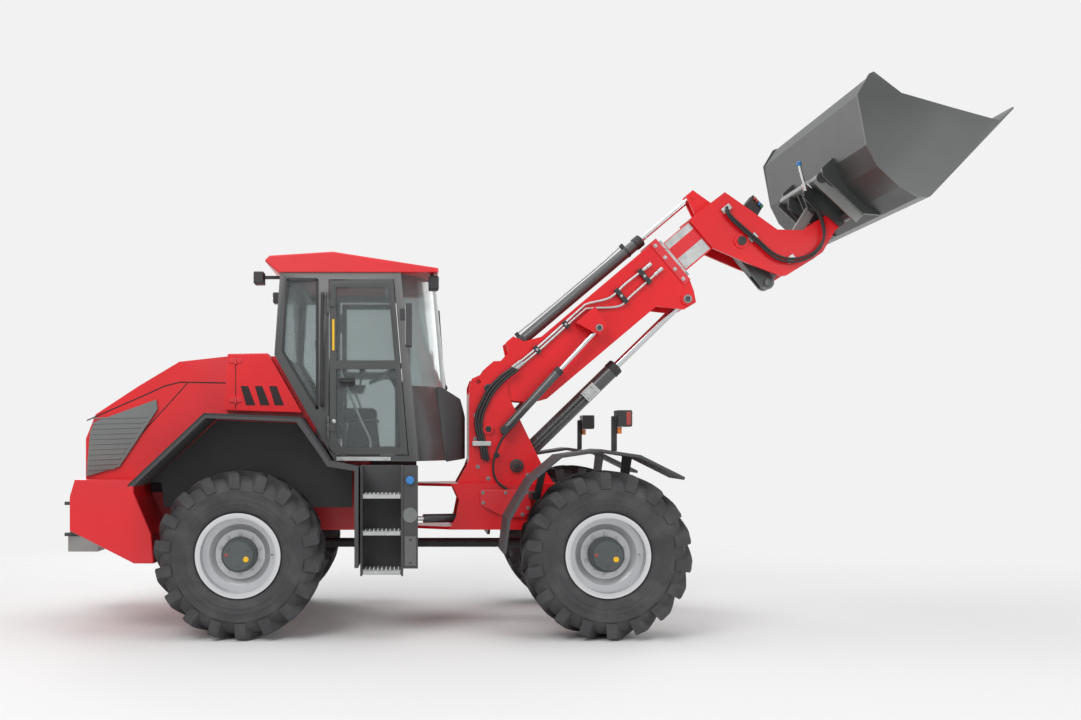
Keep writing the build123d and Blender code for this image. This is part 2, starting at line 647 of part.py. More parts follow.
# Telescope cylinder above the boom
with BuildPart() as telescope_barrel:
    barrel_length = TELE_BARREL_LENGTH
    base = boom_section(TELE_BASE_U)
    with BuildSketch(base.offset(60)):
        with Locations((0, TELE_V)):
            Circle(TELE_BARREL_R)
    extrude(amount=barrel_length - 60)
    eye = strap(boom_plane(0), (TELE_BASE_U, TELE_V), 42, (TELE_BASE_U + 90, TELE_V), 42)
    extrude(eye, amount=48, both=True)
    extrude(
        disc(boom_plane(0), (TELE_BASE_U, TELE_V), 22 + PIN_GAP), amount=60, both=True,
        mode=Mode.SUBTRACT,
    )
    with BuildSketch(base.offset(250)):
        with Locations((0, TELE_V)):
            Circle(TELE_ROD_R + PIN_GAP)
    extrude(amount=barrel_length, mode=Mode.SUBTRACT)
save(telescope_barrel, "telescope_barrel")

with BuildPart() as telescope_rod:
    with BuildSketch(boom_section(TELE_HEAD_U - TELE_ROD_LENGTH)):
        with Locations((0, TELE_V)):
            Circle(TELE_ROD_R)
    extrude(amount=TELE_ROD_LENGTH)
    extrude(disc(boom_plane(0), (TELE_HEAD_U, TELE_V), 40), amount=36, both=True)
    extrude(
        disc(boom_plane(0), (TELE_HEAD_U, TELE_V), 22 + PIN_GAP), amount=60, both=True,
        mode=Mode.SUBTRACT,
    )
save(telescope_rod, "telescope_rod")


# Lift cylinder, in the middle of the machine
def make_barrel(base, head, widths, radius, length, bore_r, pin_r, eye_r, eye_half):
    with BuildPart() as barrel:
        for width in widths:
            plane = stroke_plane(base, head, width)
            with BuildSketch(plane.offset(eye_r * 0.6)):
                Circle(radius)
            extrude(amount=length - eye_r * 0.6)
            eye = disc(side_plane(width), base, eye_r)
            extrude(eye, amount=eye_half, both=True)
            extrude(
                disc(side_plane(width), base, pin_r + PIN_GAP), amount=eye_half + 5, both=True,
                mode=Mode.SUBTRACT,
            )
            with BuildSketch(plane.offset(eye_r + 70)):
                Circle(bore_r + PIN_GAP)
            extrude(amount=length, mode=Mode.SUBTRACT)
    return barrel


def make_rod(base, head, widths, radius, length, eye_r, eye_half):
    span = hypot(head[0] - base[0], head[1] - base[1])
    with BuildPart() as rod:
        for width in widths:
            plane = stroke_plane(base, head, width)
            with BuildSketch(plane.offset(span - length)):
                Circle(radius)
            extrude(amount=length)
            extrude(disc(side_plane(width), head, eye_r), amount=eye_half, both=True)
    return rod


lift_head = boom_point(*LIFT_HEAD_UV)
side_head = boom_point(*SIDE_HEAD_UV)
save(
    make_barrel(LIFT_BASE, lift_head, (0,), LIFT_BARREL_R, LIFT_BARREL_LENGTH, LIFT_ROD_R,
                LIFT_PIN_R, 72, LIFT_EYE_HALF),
    "lift_barrel",
)
save(make_rod(LIFT_BASE, lift_head, (0,), LIFT_ROD_R, 1150, 62, LIFT_EYE_HALF), "lift_rod")
save(
    make_barrel(SIDE_BASE, side_head, (SIDE_Y, -SIDE_Y), SIDE_BARREL_R, SIDE_BARREL_LENGTH,
                SIDE_ROD_R, SIDE_PIN_R, 40, SIDE_EYE_HALF),
    "side_barrels",
)
save(
    make_rod(SIDE_BASE, side_head, (SIDE_Y, -SIDE_Y), SIDE_ROD_R, 640, 40, SIDE_EYE_HALF),
    "side_rods",
)

# Steering cylinder between the two frames
steer_dx = STEER_HEAD[0] - STEER_BASE[0]
steer_dy = STEER_HEAD[1] - STEER_BASE[1]
steer_span = hypot(steer_dx, steer_dy)
steer_plane = Plane(
    origin=(STEER_BASE[0], STEER_BASE[1], STEER_Z),
    x_dir=(0, 0, 1),
    z_dir=(steer_dx / steer_span, steer_dy / steer_span, 0),
)
with BuildPart() as steering_barrel:
    with BuildSketch(steer_plane.offset(30)):
        Circle(STEER_BARREL_R)
    extrude(amount=STEER_BARREL_LENGTH - 30)
    with Locations((STEER_BASE[0], STEER_BASE[1], STEER_Z)):
        Cylinder(44, 60)
        Cylinder(STEER_PIN_R + PIN_GAP, 80, mode=Mode.SUBTRACT)
    with BuildSketch(steer_plane.offset(75)):
        Circle(STEER_ROD_R + PIN_GAP)
    extrude(amount=STEER_BARREL_LENGTH, mode=Mode.SUBTRACT)
save(steering_barrel, "steering_barrel")

with BuildPart() as steering_rod:
    with BuildSketch(steer_plane.offset(steer_span - STEER_ROD_LENGTH)):
        Circle(STEER_ROD_R)
    extrude(amount=STEER_ROD_LENGTH)
    with Locations((STEER_HEAD[0], STEER_HEAD[1], STEER_Z)):
        Cylinder(40, 50)
save(steering_rod, "steering_rod")

# Tilt lever on the head's pin, and the link to the hitch
with BuildPart() as tilt_lever:
    arm = strap(boom_plane(0), LEVER_PIN_UV, 78, LEVER_END_UV, 60)
    extrude(arm, amount=LEVER_HALF, both=True)
    slot = strap(boom_plane(0), LEVER_END_UV, 140, (LEVER_END_UV[0], LEVER_END_UV[1] - 200), 140)
    extrude(slot, amount=LINK_HALF + 6, both=True, mode=Mode.SUBTRACT)
    for hand in (1, -1):
        stub = disc(boom_plane((LEVER_HALF + 12) * hand), LEVER_END_UV, 28)
        extrude(stub, amount=20 * hand)
    extrude(
        disc(boom_plane(0), LEVER_PIN_UV, LEVER_PIN_R + PIN_GAP), amount=LEVER_HALF + 5, both=True,
        mode=Mode.SUBTRACT,
    )
save(tilt_lever, "tilt_lever")

link_x, link_z = bucket_point(*LINK_PIN_AB)
with BuildPart() as tilt_link:
    lever_end = boom_point(*LEVER_END_UV)
    extrude(strap(side_plane(0), lever_end, 46, (link_x, link_z), 40), amount=LINK_HALF, both=True)
    extrude(
        disc(side_plane(0), (link_x, link_z), LINK_PIN_R + PIN_GAP), amount=LINK_HALF + 5, both=True,
        mode=Mode.SUBTRACT,
    )
save(tilt_link, "tilt_link")

# Quick hitch: side plates on the boom's nose, upper bar and lower locking tube
with BuildPart() as quick_hitch:
    plate_y = HEAD_HALF_WIDTH + MOVE_GAP + 26
    plate = [(-70, -60), (50, -70), (50, 60), (15, 390), (-50, 390), (-110, 330), (-75, 60)]
    for hand in (1, -1):
        extrude(outline(bucket_plane(plate_y * hand), plate), amount=26 * hand)
        tab = [(-92, 175), (-92, 225), (-20, 385), (30, 385), (10, 170), (-50, 155)]
        extrude(outline(bucket_plane((LINK_HALF + 32) * hand), tab), amount=22 * hand)
        outer = [(-60, -95), (45, -95), (45, 100), (10, 290), (10, 390), (-60, 390)]
        extrude(outline(bucket_plane((HOOK_Y - SEAT_GAP) * hand), outer), amount=26 * hand)
    link_pin_half = LINK_HALF + 40
    extrude(disc(bucket_plane(0), LINK_PIN_AB, LINK_PIN_R), amount=link_pin_half, both=True)
    extrude(disc(bucket_plane(0), (12, 372), HITCH_BAR_R), amount=HOOK_Y - 10, both=True)
    for hand in (1, -1):
        extrude(
            disc(bucket_plane((plate_y - 2) * hand), (0, -30), 36),
            amount=-(HOOK_Y - 10 - plate_y) * hand,
        )
        pin = disc(bucket_plane((plate_y + 14) * hand), (0, 0), HITCH_PIN_R)
        extrude(pin, amount=(plate_y + 14 - HITCH_PIN_START) * hand)
save(quick_hitch, "quick_hitch")

# Bucket: rolled shell, side plates and hook plates on its back
with BuildPart() as bucket:
    shell_line = [
        (1135, -264), (195, -264), (120, -200), (84, -40), (84, 194), (147, 368), (264, 526),
        (381, 682), (560, 716),
    ]
    side = [(195, -264), (1000, -264), (965, -204), (817, 73), (622, 449), (595, 717), (560, 732),
            (381, 690), (264, 530), (147, 370), (84, 194), (84, -40), (120, -200)]
    with BuildSketch(bucket_plane(0), mode=Mode.PRIVATE) as shell:
        with BuildLine():
            Polyline(*shell_line)
            offset(amount=BUCKET_SHELL, side=Side.RIGHT)
        make_face()
    extrude(shell.sketch, amount=BUCKET_HALF_WIDTH, both=True)
    extrude(outline(bucket_plane(BUCKET_HALF_WIDTH), side), amount=BUCKET_SIDE)
    mirror(about=Plane.XZ)
    for hand in (1, -1):
        hook = [(20, -80), (110, -190), (130, -150), (100, 100), (190, 420), (60, 430), (20, 380)]
        extrude(outline(bucket_plane((HOOK_Y + HOOK_PLATE) * hand), hook), amount=HOOK_PLATE * hand)
save(bucket, "bucket")

# Cab shell: side frames, floor, rear wall and roof rails round the openings
def screen_block(low_z, high_z, inset):
    """Room behind the curved front of the cab between two heights, inset from the outer face."""
    with BuildPart(mode=Mode.PRIVATE) as block:
        for z in (low_z, high_z):
            edge_x = -759 - (z - CAB_FLOOR_Z) * SCREEN_LEAN - inset
            with BuildSketch(Plane.XY.offset(z)):
                with BuildLine():
                    ThreePointArc((edge_x, -SCREEN_HALF), (edge_x + SCREEN_BULGE, 0), (edge_x, SCREEN_HALF))
                    Line((edge_x, SCREEN_HALF), (edge_x, -SCREEN_HALF))
                make_face()
        loft()
    return block.part


def screen_band(low_z, high_z, thick):
    return screen_block(low_z, high_z, 0) - screen_block(low_z, high_z, thick)


def near_cab(gap):
    """The cab's outer block, a gap larger all round, for cutting what stands against it."""
    with BuildSketch(side_plane(0), mode=Mode.PRIVATE) as profile:
        Polygon(*cab_side, align=None)
        offset(amount=gap)
    return extrude(profile.sketch, amount=CAB_HALF_WIDTH + gap, both=True, mode=Mode.PRIVATE)


cab_side = [
    (-1436, CAB_FLOOR_Z),
    (-1920, 2235),
    (-1874, CAB_TOP_Z),
    (-905, CAB_TOP_Z),
    (-759, CAB_FLOOR_Z),
]
door_hole = [(DOOR_REAR_X, 1470), (-1420, 1425), (-840, 1425), (-958, 2840), (DOOR_REAR_X, 2840)]
rear_hole = [(-1575, 1800), (-1575, 2840), (-1815, 2840), (-1850, 2260)]
with BuildPart() as cab_frame:
    extrude(outline(side_plane(CAB_HALF_WIDTH), cab_side), amount=CAB_HALF_WIDTH * 2)
    inside = [(-1425, CAB_FLOOR_Z + CAB_FLOOR), (-1865, 2245), (-1822, CAB_TOP_Z - 60),
              (-700, CAB_TOP_Z - 60), (-700, CAB_FLOOR_Z + CAB_FLOOR)]
    cab_room = CAB_HALF_WIDTH - CAB_WALL
    extrude(outline(side_plane(0), inside), amount=cab_room, both=True, mode=Mode.SUBTRACT)
    for hole in (door_hole, rear_hole):
        extrude(outline(side_plane(0), hole), amount=CAB_HALF_WIDTH + 5, both=True, mode=Mode.SUBTRACT)
    with Locations((-1850, 0, 2520)):
        Box(200, 2 * CAB_HALF_WIDTH - 260, 560, mode=Mode.SUBTRACT)
    with Locations((-1400, 0, CAB_TOP_Z)):
        Box(700, 2 * CAB_HALF_WIDTH - 260, 200, mode=Mode.SUBTRACT)
    add(screen_band(CAB_FLOOR_Z, SCREEN_BASE_Z, 16))
    for hand in (1, -1):
        for z in DOOR_HINGE_ZS:
            for shift in (-1, 1):
                knuckle_z = z + shift * (HINGE_LENGTH + SEAT_GAP)
                with Locations((HINGE_X, HINGE_Y * hand, knuckle_z)):
                    Cylinder(HINGE_R, HINGE_LENGTH)
                with Locations((HINGE_X, (HINGE_Y - 9) * hand, knuckle_z)):
                    Box(2 * HINGE_R, 18, HINGE_LENGTH)
save(cab_frame, "cab_frame")

with BuildPart() as cab_roof:
    roof = [(-2000, 2990), (-1890, CAB_TOP_Z + SEAT_GAP), (-600, CAB_TOP_Z + SEAT_GAP),
            (-600, 2930), (-1450, ROOF_TOP_Z), (-1960, 3030)]
    extrude(outline(side_plane(0), roof), amount=CAB_HALF_WIDTH + 20, both=True)
save(cab_roof, "cab_roof")

# Doors, hinged at their rear edge, with their windows cut
door_line = [
    (DOOR_REAR_X + DOOR_GAP, 1470 + DOOR_GAP),
    (-1418, 1425 + DOOR_GAP),
    (-840 - DOOR_GAP, 1425 + DOOR_GAP),
    (-958 - DOOR_GAP, 2840 - DOOR_GAP),
    (DOOR_REAR_X + DOOR_GAP, 2840 - DOOR_GAP),
]
window = [(-1425, 2190), (-955, 2190), (-1005, 2780), (-1425, 2780)]
lower_window = [(-1425, 1560), (-1380, 1490), (-905, 1490), (-950, 2120), (-1425, 2120)]
for side_name, side in (("left", 1), ("right", -1)):
    with BuildPart() as door:
        face_plane = side_plane(CAB_HALF_WIDTH * side)
        extrude(outline(face_plane, door_line), amount=DOOR_THICK * side)
        for hole in (window, lower_window):
            extrude(outline(face_plane, hole), amount=DOOR_THICK * side, mode=Mode.SUBTRACT)
        for z in DOOR_HINGE_ZS:
            with Locations((HINGE_X, HINGE_Y * side, z)):
                Cylinder(HINGE_R, HINGE_LENGTH)
            with Locations((HINGE_X + 32, (HINGE_Y - 7.5) * side, z)):
                Box(48, 15, HINGE_LENGTH)
    save(door, f"door_{side_name}")
    with BuildPart() as pane:
        pane_plane = side_plane((CAB_HALF_WIDTH - DOOR_THICK / 2) * side)
        for hole in (window, lower_window):
            with BuildSketch(pane_plane, mode=Mode.PRIVATE) as glass:
                Polygon(*hole, align=None)
                offset(amount=-SEAT_GAP)
            extrude(glass.sketch, amount=GLASS_THICK * side)
    save(pane, f"door_glass_{side_name}")

# Fixed glass: windscreen and rear quarters
with BuildPart() as cab_glass:
    for hand in (1, -1):
        quarter_plane = side_plane((CAB_HALF_WIDTH - CAB_WALL / 2) * hand)
        with BuildSketch(quarter_plane, mode=Mode.PRIVATE) as quarter:
            Polygon(*rear_hole, align=None)
            offset(amount=-SEAT_GAP)
        extrude(quarter.sketch, amount=GLASS_THICK * hand)
    add(screen_band(SCREEN_BASE_Z + SEAT_GAP, CAB_TOP_Z - SEAT_GAP, GLASS_THICK))
    rear_plane = Plane(origin=(-1880, 0, 2520), x_dir=(0, 1, 0), z_dir=(1, 0, 0))
    with BuildSketch(rear_plane, mode=Mode.PRIVATE) as pane:
        Rectangle(2 * CAB_HALF_WIDTH - 260 - 2 * SEAT_GAP, 560 - 2 * SEAT_GAP)
    extrude(pane.sketch, amount=GLASS_THICK)
save(cab_glass, "cab_glass")

# Seat and steering column inside the cab
with BuildPart() as seat:
    base_z = CAB_FLOOR_Z + CAB_FLOOR + SEAT_GAP
    with Locations((-1240, 0, (base_z + 1710) / 2)):
        Box(300, 360, 1710 - base_z)
    with Locations((-1320, 0, 1760)):
        Box(480, 500, 110)
    back_rest = [(-1575, 1780), (-1480, 1780), (-1560, 2420), (-1650, 2420)]
    extrude(outline(side_plane(0), back_rest), amount=240, both=True)
save(seat, "seat")

with BuildPart() as steering_column:
    column_z = CAB_FLOOR_Z + CAB_FLOOR + SEAT_GAP
    column = [(-960, column_z), (-820, column_z), (-880, 2050), (-960, 2050)]
    extrude(outline(side_plane(0), column), amount=120, both=True)
    with Locations(Plane(origin=(-1010, 0, 2140), z_dir=(-0.5, 0, 0.87))):
        Cylinder(40, 30)
    wheel_plane = Plane(origin=(-1010, 0, 2140), z_dir=(-0.5, 0, 0.87))
    with BuildSketch(wheel_plane, mode=Mode.PRIVATE) as spoke:
        Rectangle(380, 30)
    extrude(spoke.sketch, amount=6, both=True)
    with BuildSketch(wheel_plane, mode=Mode.PRIVATE) as wheel_rim:
        RegularPolygon(204, 24)
        RegularPolygon(176, 24, mode=Mode.SUBTRACT)
    extrude(wheel_rim.sketch, amount=12, both=True)
    with Locations(Plane(origin=(-1010, 0, 2140), z_dir=(-0.5, 0, 0.87)).offset(-70)):
        Cylinder(30, 140)
save(steering_column, "steering_column")

# Front cowl under the windscreen
with BuildPart() as front_cowl:
    cowl = [(-742, 1340), (-345, 1390), (-345, 1725), (-400, 1900), (-581, 2000), (-700, 1950)]
    extrude(outline(side_plane(0), cowl), amount=430, both=True)
    with Locations((PIVOT_X, 0, 1700)):
        Cylinder(500, 900, mode=Mode.INTERSECT)
    add(screen_block(1300, 2100, -SEAT_GAP), mode=Mode.SUBTRACT)
save(front_cowl, "front_cowl")

# Hood shell over the engine, side grilles, service boxes
with BuildPart() as hood:
    hood_base_z = BODY_SPLIT_Z + SEAT_GAP
    hood_line = [
        (BODY_REAR_X + 10, hood_base_z),
        (BODY_REAR_X + 10, 1560),
        (-3400, 1760),
        (-3050, 1990),
        (-2716, 2190),
        (-2313, 2235),
        (-1890, 2235),
        (-1600, 1700),
        (-1600, hood_base_z),
    ]
    extrude(outline(side_plane(0), hood_line), amount=HOOD_HALF_WIDTH, both=True)
    cavity = [
        (BODY_REAR_X + 40, 1200),
        (BODY_REAR_X + 40, 1550),
        (-3380, 1735),
        (-3040, 1962),
        (-2710, 2160),
        (-2313, 2205),
        (-1970, 2205),
        (-1660, 1690),
        (-1660, 1200),
    ]
    hood_room = HOOD_HALF_WIDTH - HOOD_WALL
    extrude(outline(side_plane(0), cavity), amount=hood_room, both=True, mode=Mode.SUBTRACT)
    add(near_cab(SEAT_GAP), mode=Mode.SUBTRACT)
save(hood, "hood")

with BuildPart() as side_grilles:
    grille = [(-3470, 1250), (-3440, 1620), (-3400, 1700), (-2900, 1880), (-2890, 1800), (-3200, 1330)]
    for hand in (1, -1):
        extrude(outline(side_plane((HOOD_HALF_WIDTH + SEAT_GAP) * hand), grille), amount=-24 * hand)
save(side_grilles, "side_grilles")

with BuildPart() as service_boxes:
    box_line = [(-2330, 1790), (-2300, 2245), (-1975, 2250), (-1700, 1770)]
    for hand in (1, -1):
        extrude(outline(side_plane((HOOD_HALF_WIDTH + SEAT_GAP) * hand), box_line), amount=-130 * hand)
save(service_boxes, "service_boxes")

with BuildPart() as engine_block:
    with Locations((-2750, 0, 1110 + SEAT_GAP + 320)):
        Box(800, 2 * CHASSIS_HALF, 640)
save(engine_block, "engine_block")

with BuildPart() as counterweight:
    weight = [(BODY_REAR_X, BODY_SPLIT_Z), (-3530, 1100), (-3530, 830), (-3020, 570), (-2860, 570),
              (-2880, 800), (-3020, 1130), (-3020, BODY_SPLIT_Z)]
    extrude(outline(side_plane(0), weight), amount=920, both=True)
    pocket_end = BODY_REAR_X + 90 - SEAT_GAP
    with Locations(((pocket_end - 2600) / 2, 0, 900)):
        Box(-2600 - pocket_end, 2 * (CHASSIS_HALF + SEAT_GAP), 700, mode=Mode.SUBTRACT)
save(counterweight, "counterweight")

with BuildPart() as tow_hitch:
    hitch_face = -3530 - SEAT_GAP
    jaw_length = hitch_face + 3830
    for z in (1000, 730):
        with Locations(((hitch_face - 3830) / 2, 0, z)):
            Box(jaw_length, 150, 30)
    with Locations((hitch_face - 12, 0, 870)):
        Box(24, 200, 330)
    with Locations((-3780, 0, 880)):
        Cylinder(TOW_PIN_R, 360)
    with Locations(((hitch_face - 3788) / 2, 0, 650)):
        Box(hitch_face + 3788, 220, 132)
save(tow_hitch, "tow_hitch")

# Rear fenders with their lips, and the mud covers ahead of the wheels
with BuildPart() as rear_fenders:
    arch_out = [(-3010, 1200), (-2420, 1760), (-1690, 1730), (-1510, 1470), (-1455, 1385), (-1230, 1340),
                (-1230, 560)]
    arch_in = [(-1260, 560), (-1260, 1310), (-1470, 1345), (-1540, 1450), (-1710, 1690), (-2410, 1720),
               (-2970, 1190)]
    fender_inner_y = HOOD_HALF_WIDTH + SEAT_GAP
    arch = outline(side_plane(FENDER_OUTER_Y), arch_out + arch_in)
    extrude(arch, amount=FENDER_OUTER_Y - fender_inner_y)
    mirror(about=Plane.XZ)
    add(near_cab(SEAT_GAP), mode=Mode.SUBTRACT)
save(rear_fenders, "rear_fenders")

with BuildPart() as steps:
    for hand in (1, -1):
        step_mid_y = (STEP_INNER_Y + STEP_OUTER_Y) / 2 * hand
        step_depth = STEP_OUTER_Y - STEP_INNER_Y
        for x in (-1210, -892):
            with Locations((x, step_mid_y, 920)):
                Box(16, step_depth, 860)
        for z in (517, 820, 1107):
            with Locations((-1051, step_mid_y, z)):
                Box(310, step_depth - 10, 30)
        with Locations((-1051, (STEP_INNER_Y + 8) * hand, 920)):
            Box(320, 16, 860)
        with Locations((-826, step_mid_y, 948)):
            Box(116, step_depth - 20, 800)
save(steps, "steps")

with BuildPart() as front_fenders:
    front_out = [
        (-110, 670),
        (-75, 940),
        (102, 1240),
        (334, 1434),
        (645, 1480),
        (955, 1434),
        (1297, 1263),
    ]
    front_in = [
        (1290, 1240),
        (950, 1410),
        (645, 1456),
        (345, 1410),
        (120, 1225),
        (-50, 930),
        (-86, 670),
    ]
    band = outline(side_plane(FENDER_OUTER_Y), front_out + front_in)
    extrude(band, amount=FENDER_OUTER_Y - FENDER_ARM_Y)
    arm_start = FRAME_HALF + SEAT_GAP
    for x, z in ((200, 1090), (880, 980)):
        with Locations((x, (arm_start + FENDER_ARM_Y + 20) / 2, z)):
            Box(60, FENDER_ARM_Y + 20 - arm_start, 60)
    rear_post = [(170, 1060), (230, 1060), (300, 1390), (230, 1330)]
    front_post = [(850, 950), (910, 950), (980, 1410), (900, 1430)]
    for post in (rear_post, front_post):
        extrude(outline(side_plane(FENDER_ARM_Y + 32), post), amount=24)
    mirror(about=Plane.XZ)
save(front_fenders, "front_fenders")

with BuildPart() as front_lamps:
    for hand in (1, -1):
        with Locations((790, 900 * hand, (1462 + 1740) / 2)):
            Box(40, 40, 1740 - 1462)
        with Locations((860, 900 * hand, 1720)):
            Box(110, 190, 130)
save(front_lamps, "front_lamps")

# Work lamps under the roof's corners
with BuildPart() as cab_lamps:
    for hand in (1, -1):
        with Locations((-640, 700 * hand, CAB_TOP_Z - 75)):
            Box(80, 130, 110)
        with Locations((-650, 700 * hand, CAB_TOP_Z - 10)):
            Box(30, 40, 20)
        with Locations((-2060, 640 * hand, 2870)):
            Box(80, 130, 100)
        with Locations(((-2030 - 1876.4) / 2, 640 * hand, 2878)):
            Box(2030 - 1876.4, 40, 24)
save(cab_lamps, "cab_lamps")

# Mirrors on arms from the front pillars
with BuildPart() as mirrors:
    for hand in (1, -1):
        mirror_arm_y = CAB_HALF_WIDTH + SEAT_GAP
        with Locations((-880, (mirror_arm_y + 6) * hand, 2560)):
            Box(60, 12, 90)
        with Locations((-860, (mirror_arm_y + 110) * hand, 2560)):
            Box(22, 220, 22)
        with Locations((-840, (mirror_arm_y + 190) * hand, 2450)):
            Box(50, 170, 330)
save(mirrors, "mirrors")

# Propeller shaft from the articulation joint back to the rear axle
with BuildPart() as rear_shaft:
    rear_start = REAR_AXLE_X + PINION_REACH + SEAT_GAP
    rear_end = PIVOT_X - 40
    with Locations(((rear_start + rear_end) / 2, 0, AXLE_Z)):
        Cylinder(SHAFT_R, rear_end - rear_start, rotation=(0, 90, 0))
    with Locations((rear_start + 12, 0, AXLE_Z), (rear_end - 12, 0, AXLE_Z)):
        Cylinder(SHAFT_R + 26, 24, rotation=(0, 90, 0))
save(rear_shaft, "rear_shaft")
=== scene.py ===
from math import cos, pi, radians, sin

import bmesh
import bpy
from mathutils import Matrix, Vector


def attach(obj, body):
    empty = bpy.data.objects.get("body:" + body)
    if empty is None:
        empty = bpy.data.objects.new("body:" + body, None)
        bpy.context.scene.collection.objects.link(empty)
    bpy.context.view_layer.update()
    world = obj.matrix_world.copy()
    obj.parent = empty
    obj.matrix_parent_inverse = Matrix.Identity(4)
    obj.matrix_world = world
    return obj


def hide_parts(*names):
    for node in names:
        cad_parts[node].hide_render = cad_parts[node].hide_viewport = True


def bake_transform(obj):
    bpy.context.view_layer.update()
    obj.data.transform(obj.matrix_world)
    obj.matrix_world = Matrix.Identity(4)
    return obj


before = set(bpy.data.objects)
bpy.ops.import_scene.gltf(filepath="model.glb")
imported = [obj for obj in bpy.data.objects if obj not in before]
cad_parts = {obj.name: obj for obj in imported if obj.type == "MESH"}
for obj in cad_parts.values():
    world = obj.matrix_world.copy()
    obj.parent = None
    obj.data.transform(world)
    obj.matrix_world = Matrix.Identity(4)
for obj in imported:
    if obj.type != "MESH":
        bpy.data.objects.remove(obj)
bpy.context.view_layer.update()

# Driving places, in metres
BOOM_ANGLE = radians(40.2)
BUCKET_ANGLE = radians(46.5)
BOOM_PIVOT = Vector((-0.160, 0, 1.990))
HITCH_UV = (3.262, -0.819)
TRACK_HALF = 0.935
AXLES = {"front": 0.700, "rear": -2.160}
AXLE_Z = 0.655
SIDES = (("left", 1), ("right", -1))

# Outer faces that small pieces stand on, as distances from the machine's middle
INNER_BOOM_FACE = 0.1396
COLLAR_CLAMP_FACE = 0.1835
HEAD_FACE = 0.1725
DOOR_FACE = 0.8002
TANK_FACE = 1.0702
SERVICE_FACE = 0.7706
HOOD_FACE = 0.6401
COVER_FACE = 0.3422
TOWER_FACE = 0.2232
GRILLE_FACE = 0.6645


def boom(u, v, y=0.0):
    """Point along and across the boom, measured from its pivot."""
    return Vector((
        BOOM_PIVOT.x + u * cos(BOOM_ANGLE) - v * sin(BOOM_ANGLE),
        y,
        BOOM_PIVOT.z + u * sin(BOOM_ANGLE) + v * cos(BOOM_ANGLE),
    ))


def scoop(a, b, y=0.0):
    """Point along and above the bucket's floor, measured from the hitch pin."""
    pin = boom(*HITCH_UV)
    return Vector((
        pin.x + a * cos(BUCKET_ANGLE) - b * sin(BUCKET_ANGLE),
        y,
        pin.z + a * sin(BUCKET_ANGLE) + b * cos(BUCKET_ANGLE),
    ))


def side(x, z, y=0.0):
    """Point of the side view."""
    return Vector((x, y, z))


def facing(y, z, x=0.0):
    """Point of the front or rear view."""
    return Vector((x, y, z))


# Camera at the photograph's viewing angle, and soft light
CAMERA_PLACE = (-0.83, -9.74, 1.55)
camera_data = bpy.data.cameras.new("camera")
camera_data.lens = 37.07
camera_data.sensor_width = 36.0
camera_data.sensor_fit = "HORIZONTAL"
camera_data.shift_x = 0.1207
camera_data.shift_y = 0.074
camera_data.clip_end = 200.0
camera = bpy.data.objects.new("camera", camera_data)
camera.location = CAMERA_PLACE
camera.rotation_euler = (radians(90), 0, 0)
bpy.context.scene.collection.objects.link(camera)
bpy.context.scene.camera = camera
bpy.context.scene.view_settings.view_transform = "Standard"


def srgb(red, green, blue):
    """Linear colour of a display colour given from 0 to 255."""
    def linear(value):
        share = value / 255
        return share / 12.92 if share <= 0.04045 else ((share + 0.055) / 1.055) ** 2.4
    return (linear(red), linear(green), linear(blue), 1.0)


def area_light(name, place, target, size, watts):
    data = bpy.data.lights.new(name, "AREA")
    data.shape = "DISK"
    data.size = size
    data.energy = watts
    lamp = bpy.data.objects.new(name, data)
    lamp.location = place
    lamp.rotation_euler = (Vector(target) - Vector(place)).to_track_quat("-Z", "Y").to_euler()
    bpy.context.scene.collection.objects.link(lamp)


area_light("key", (-4.5, -8.0, 8.0), (0, 0, 1.5), 6.0, 480)
area_light("fill", (7.5, -7.0, 4.0), (0.5, 0, 1.5), 5.0, 200)
area_light("top", (0, 0, 10.0), (0, 0, 0), 9.0, 330)
area_light("rear_left", (-6.0, 8.0, 5.0), (-1, 0, 1.5), 5.0, 250)
area_light("front_left", (7.0, 8.0, 5.0), (1, 0, 1.5), 5.0, 200)

BACKDROP = srgb(242, 242, 242)
world = bpy.data.worlds.new("studio")
bpy.context.scene.world = world
world.use_nodes = True
world_nodes = world.node_tree.nodes
world_links = world.node_tree.links
sky = world_nodes["Background"]
sky.inputs["Color"].default_value = (1, 1, 1, 1)
sky.inputs["Strength"].default_value = 0.42
plain = world_nodes.new("ShaderNodeBackground")
plain.inputs["Color"].default_value = BACKDROP
rays = world_nodes.new("ShaderNodeLightPath")
seen = world_nodes.new("ShaderNodeMath")
seen.operation = "MAXIMUM"
world_links.new(rays.outputs["Is Camera Ray"], seen.inputs[0])
world_links.new(rays.outputs["Is Transmission Ray"], seen.inputs[1])
seen_or_glossy = world_nodes.new("ShaderNodeMath")
seen_or_glossy.operation = "MAXIMUM"
world_links.new(seen.outputs[0], seen_or_glossy.inputs[0])
world_links.new(rays.outputs["Is Glossy Ray"], seen_or_glossy.inputs[1])
world_mix = world_nodes.new("ShaderNodeMixShader")
world_links.new(seen_or_glossy.outputs[0], world_mix.inputs[0])
world_links.new(sky.outputs[0], world_mix.inputs[1])
world_links.new(plain.outputs[0], world_mix.inputs[2])
world_links.new(world_mix.outputs[0], world_nodes["World Output"].inputs["Surface"])


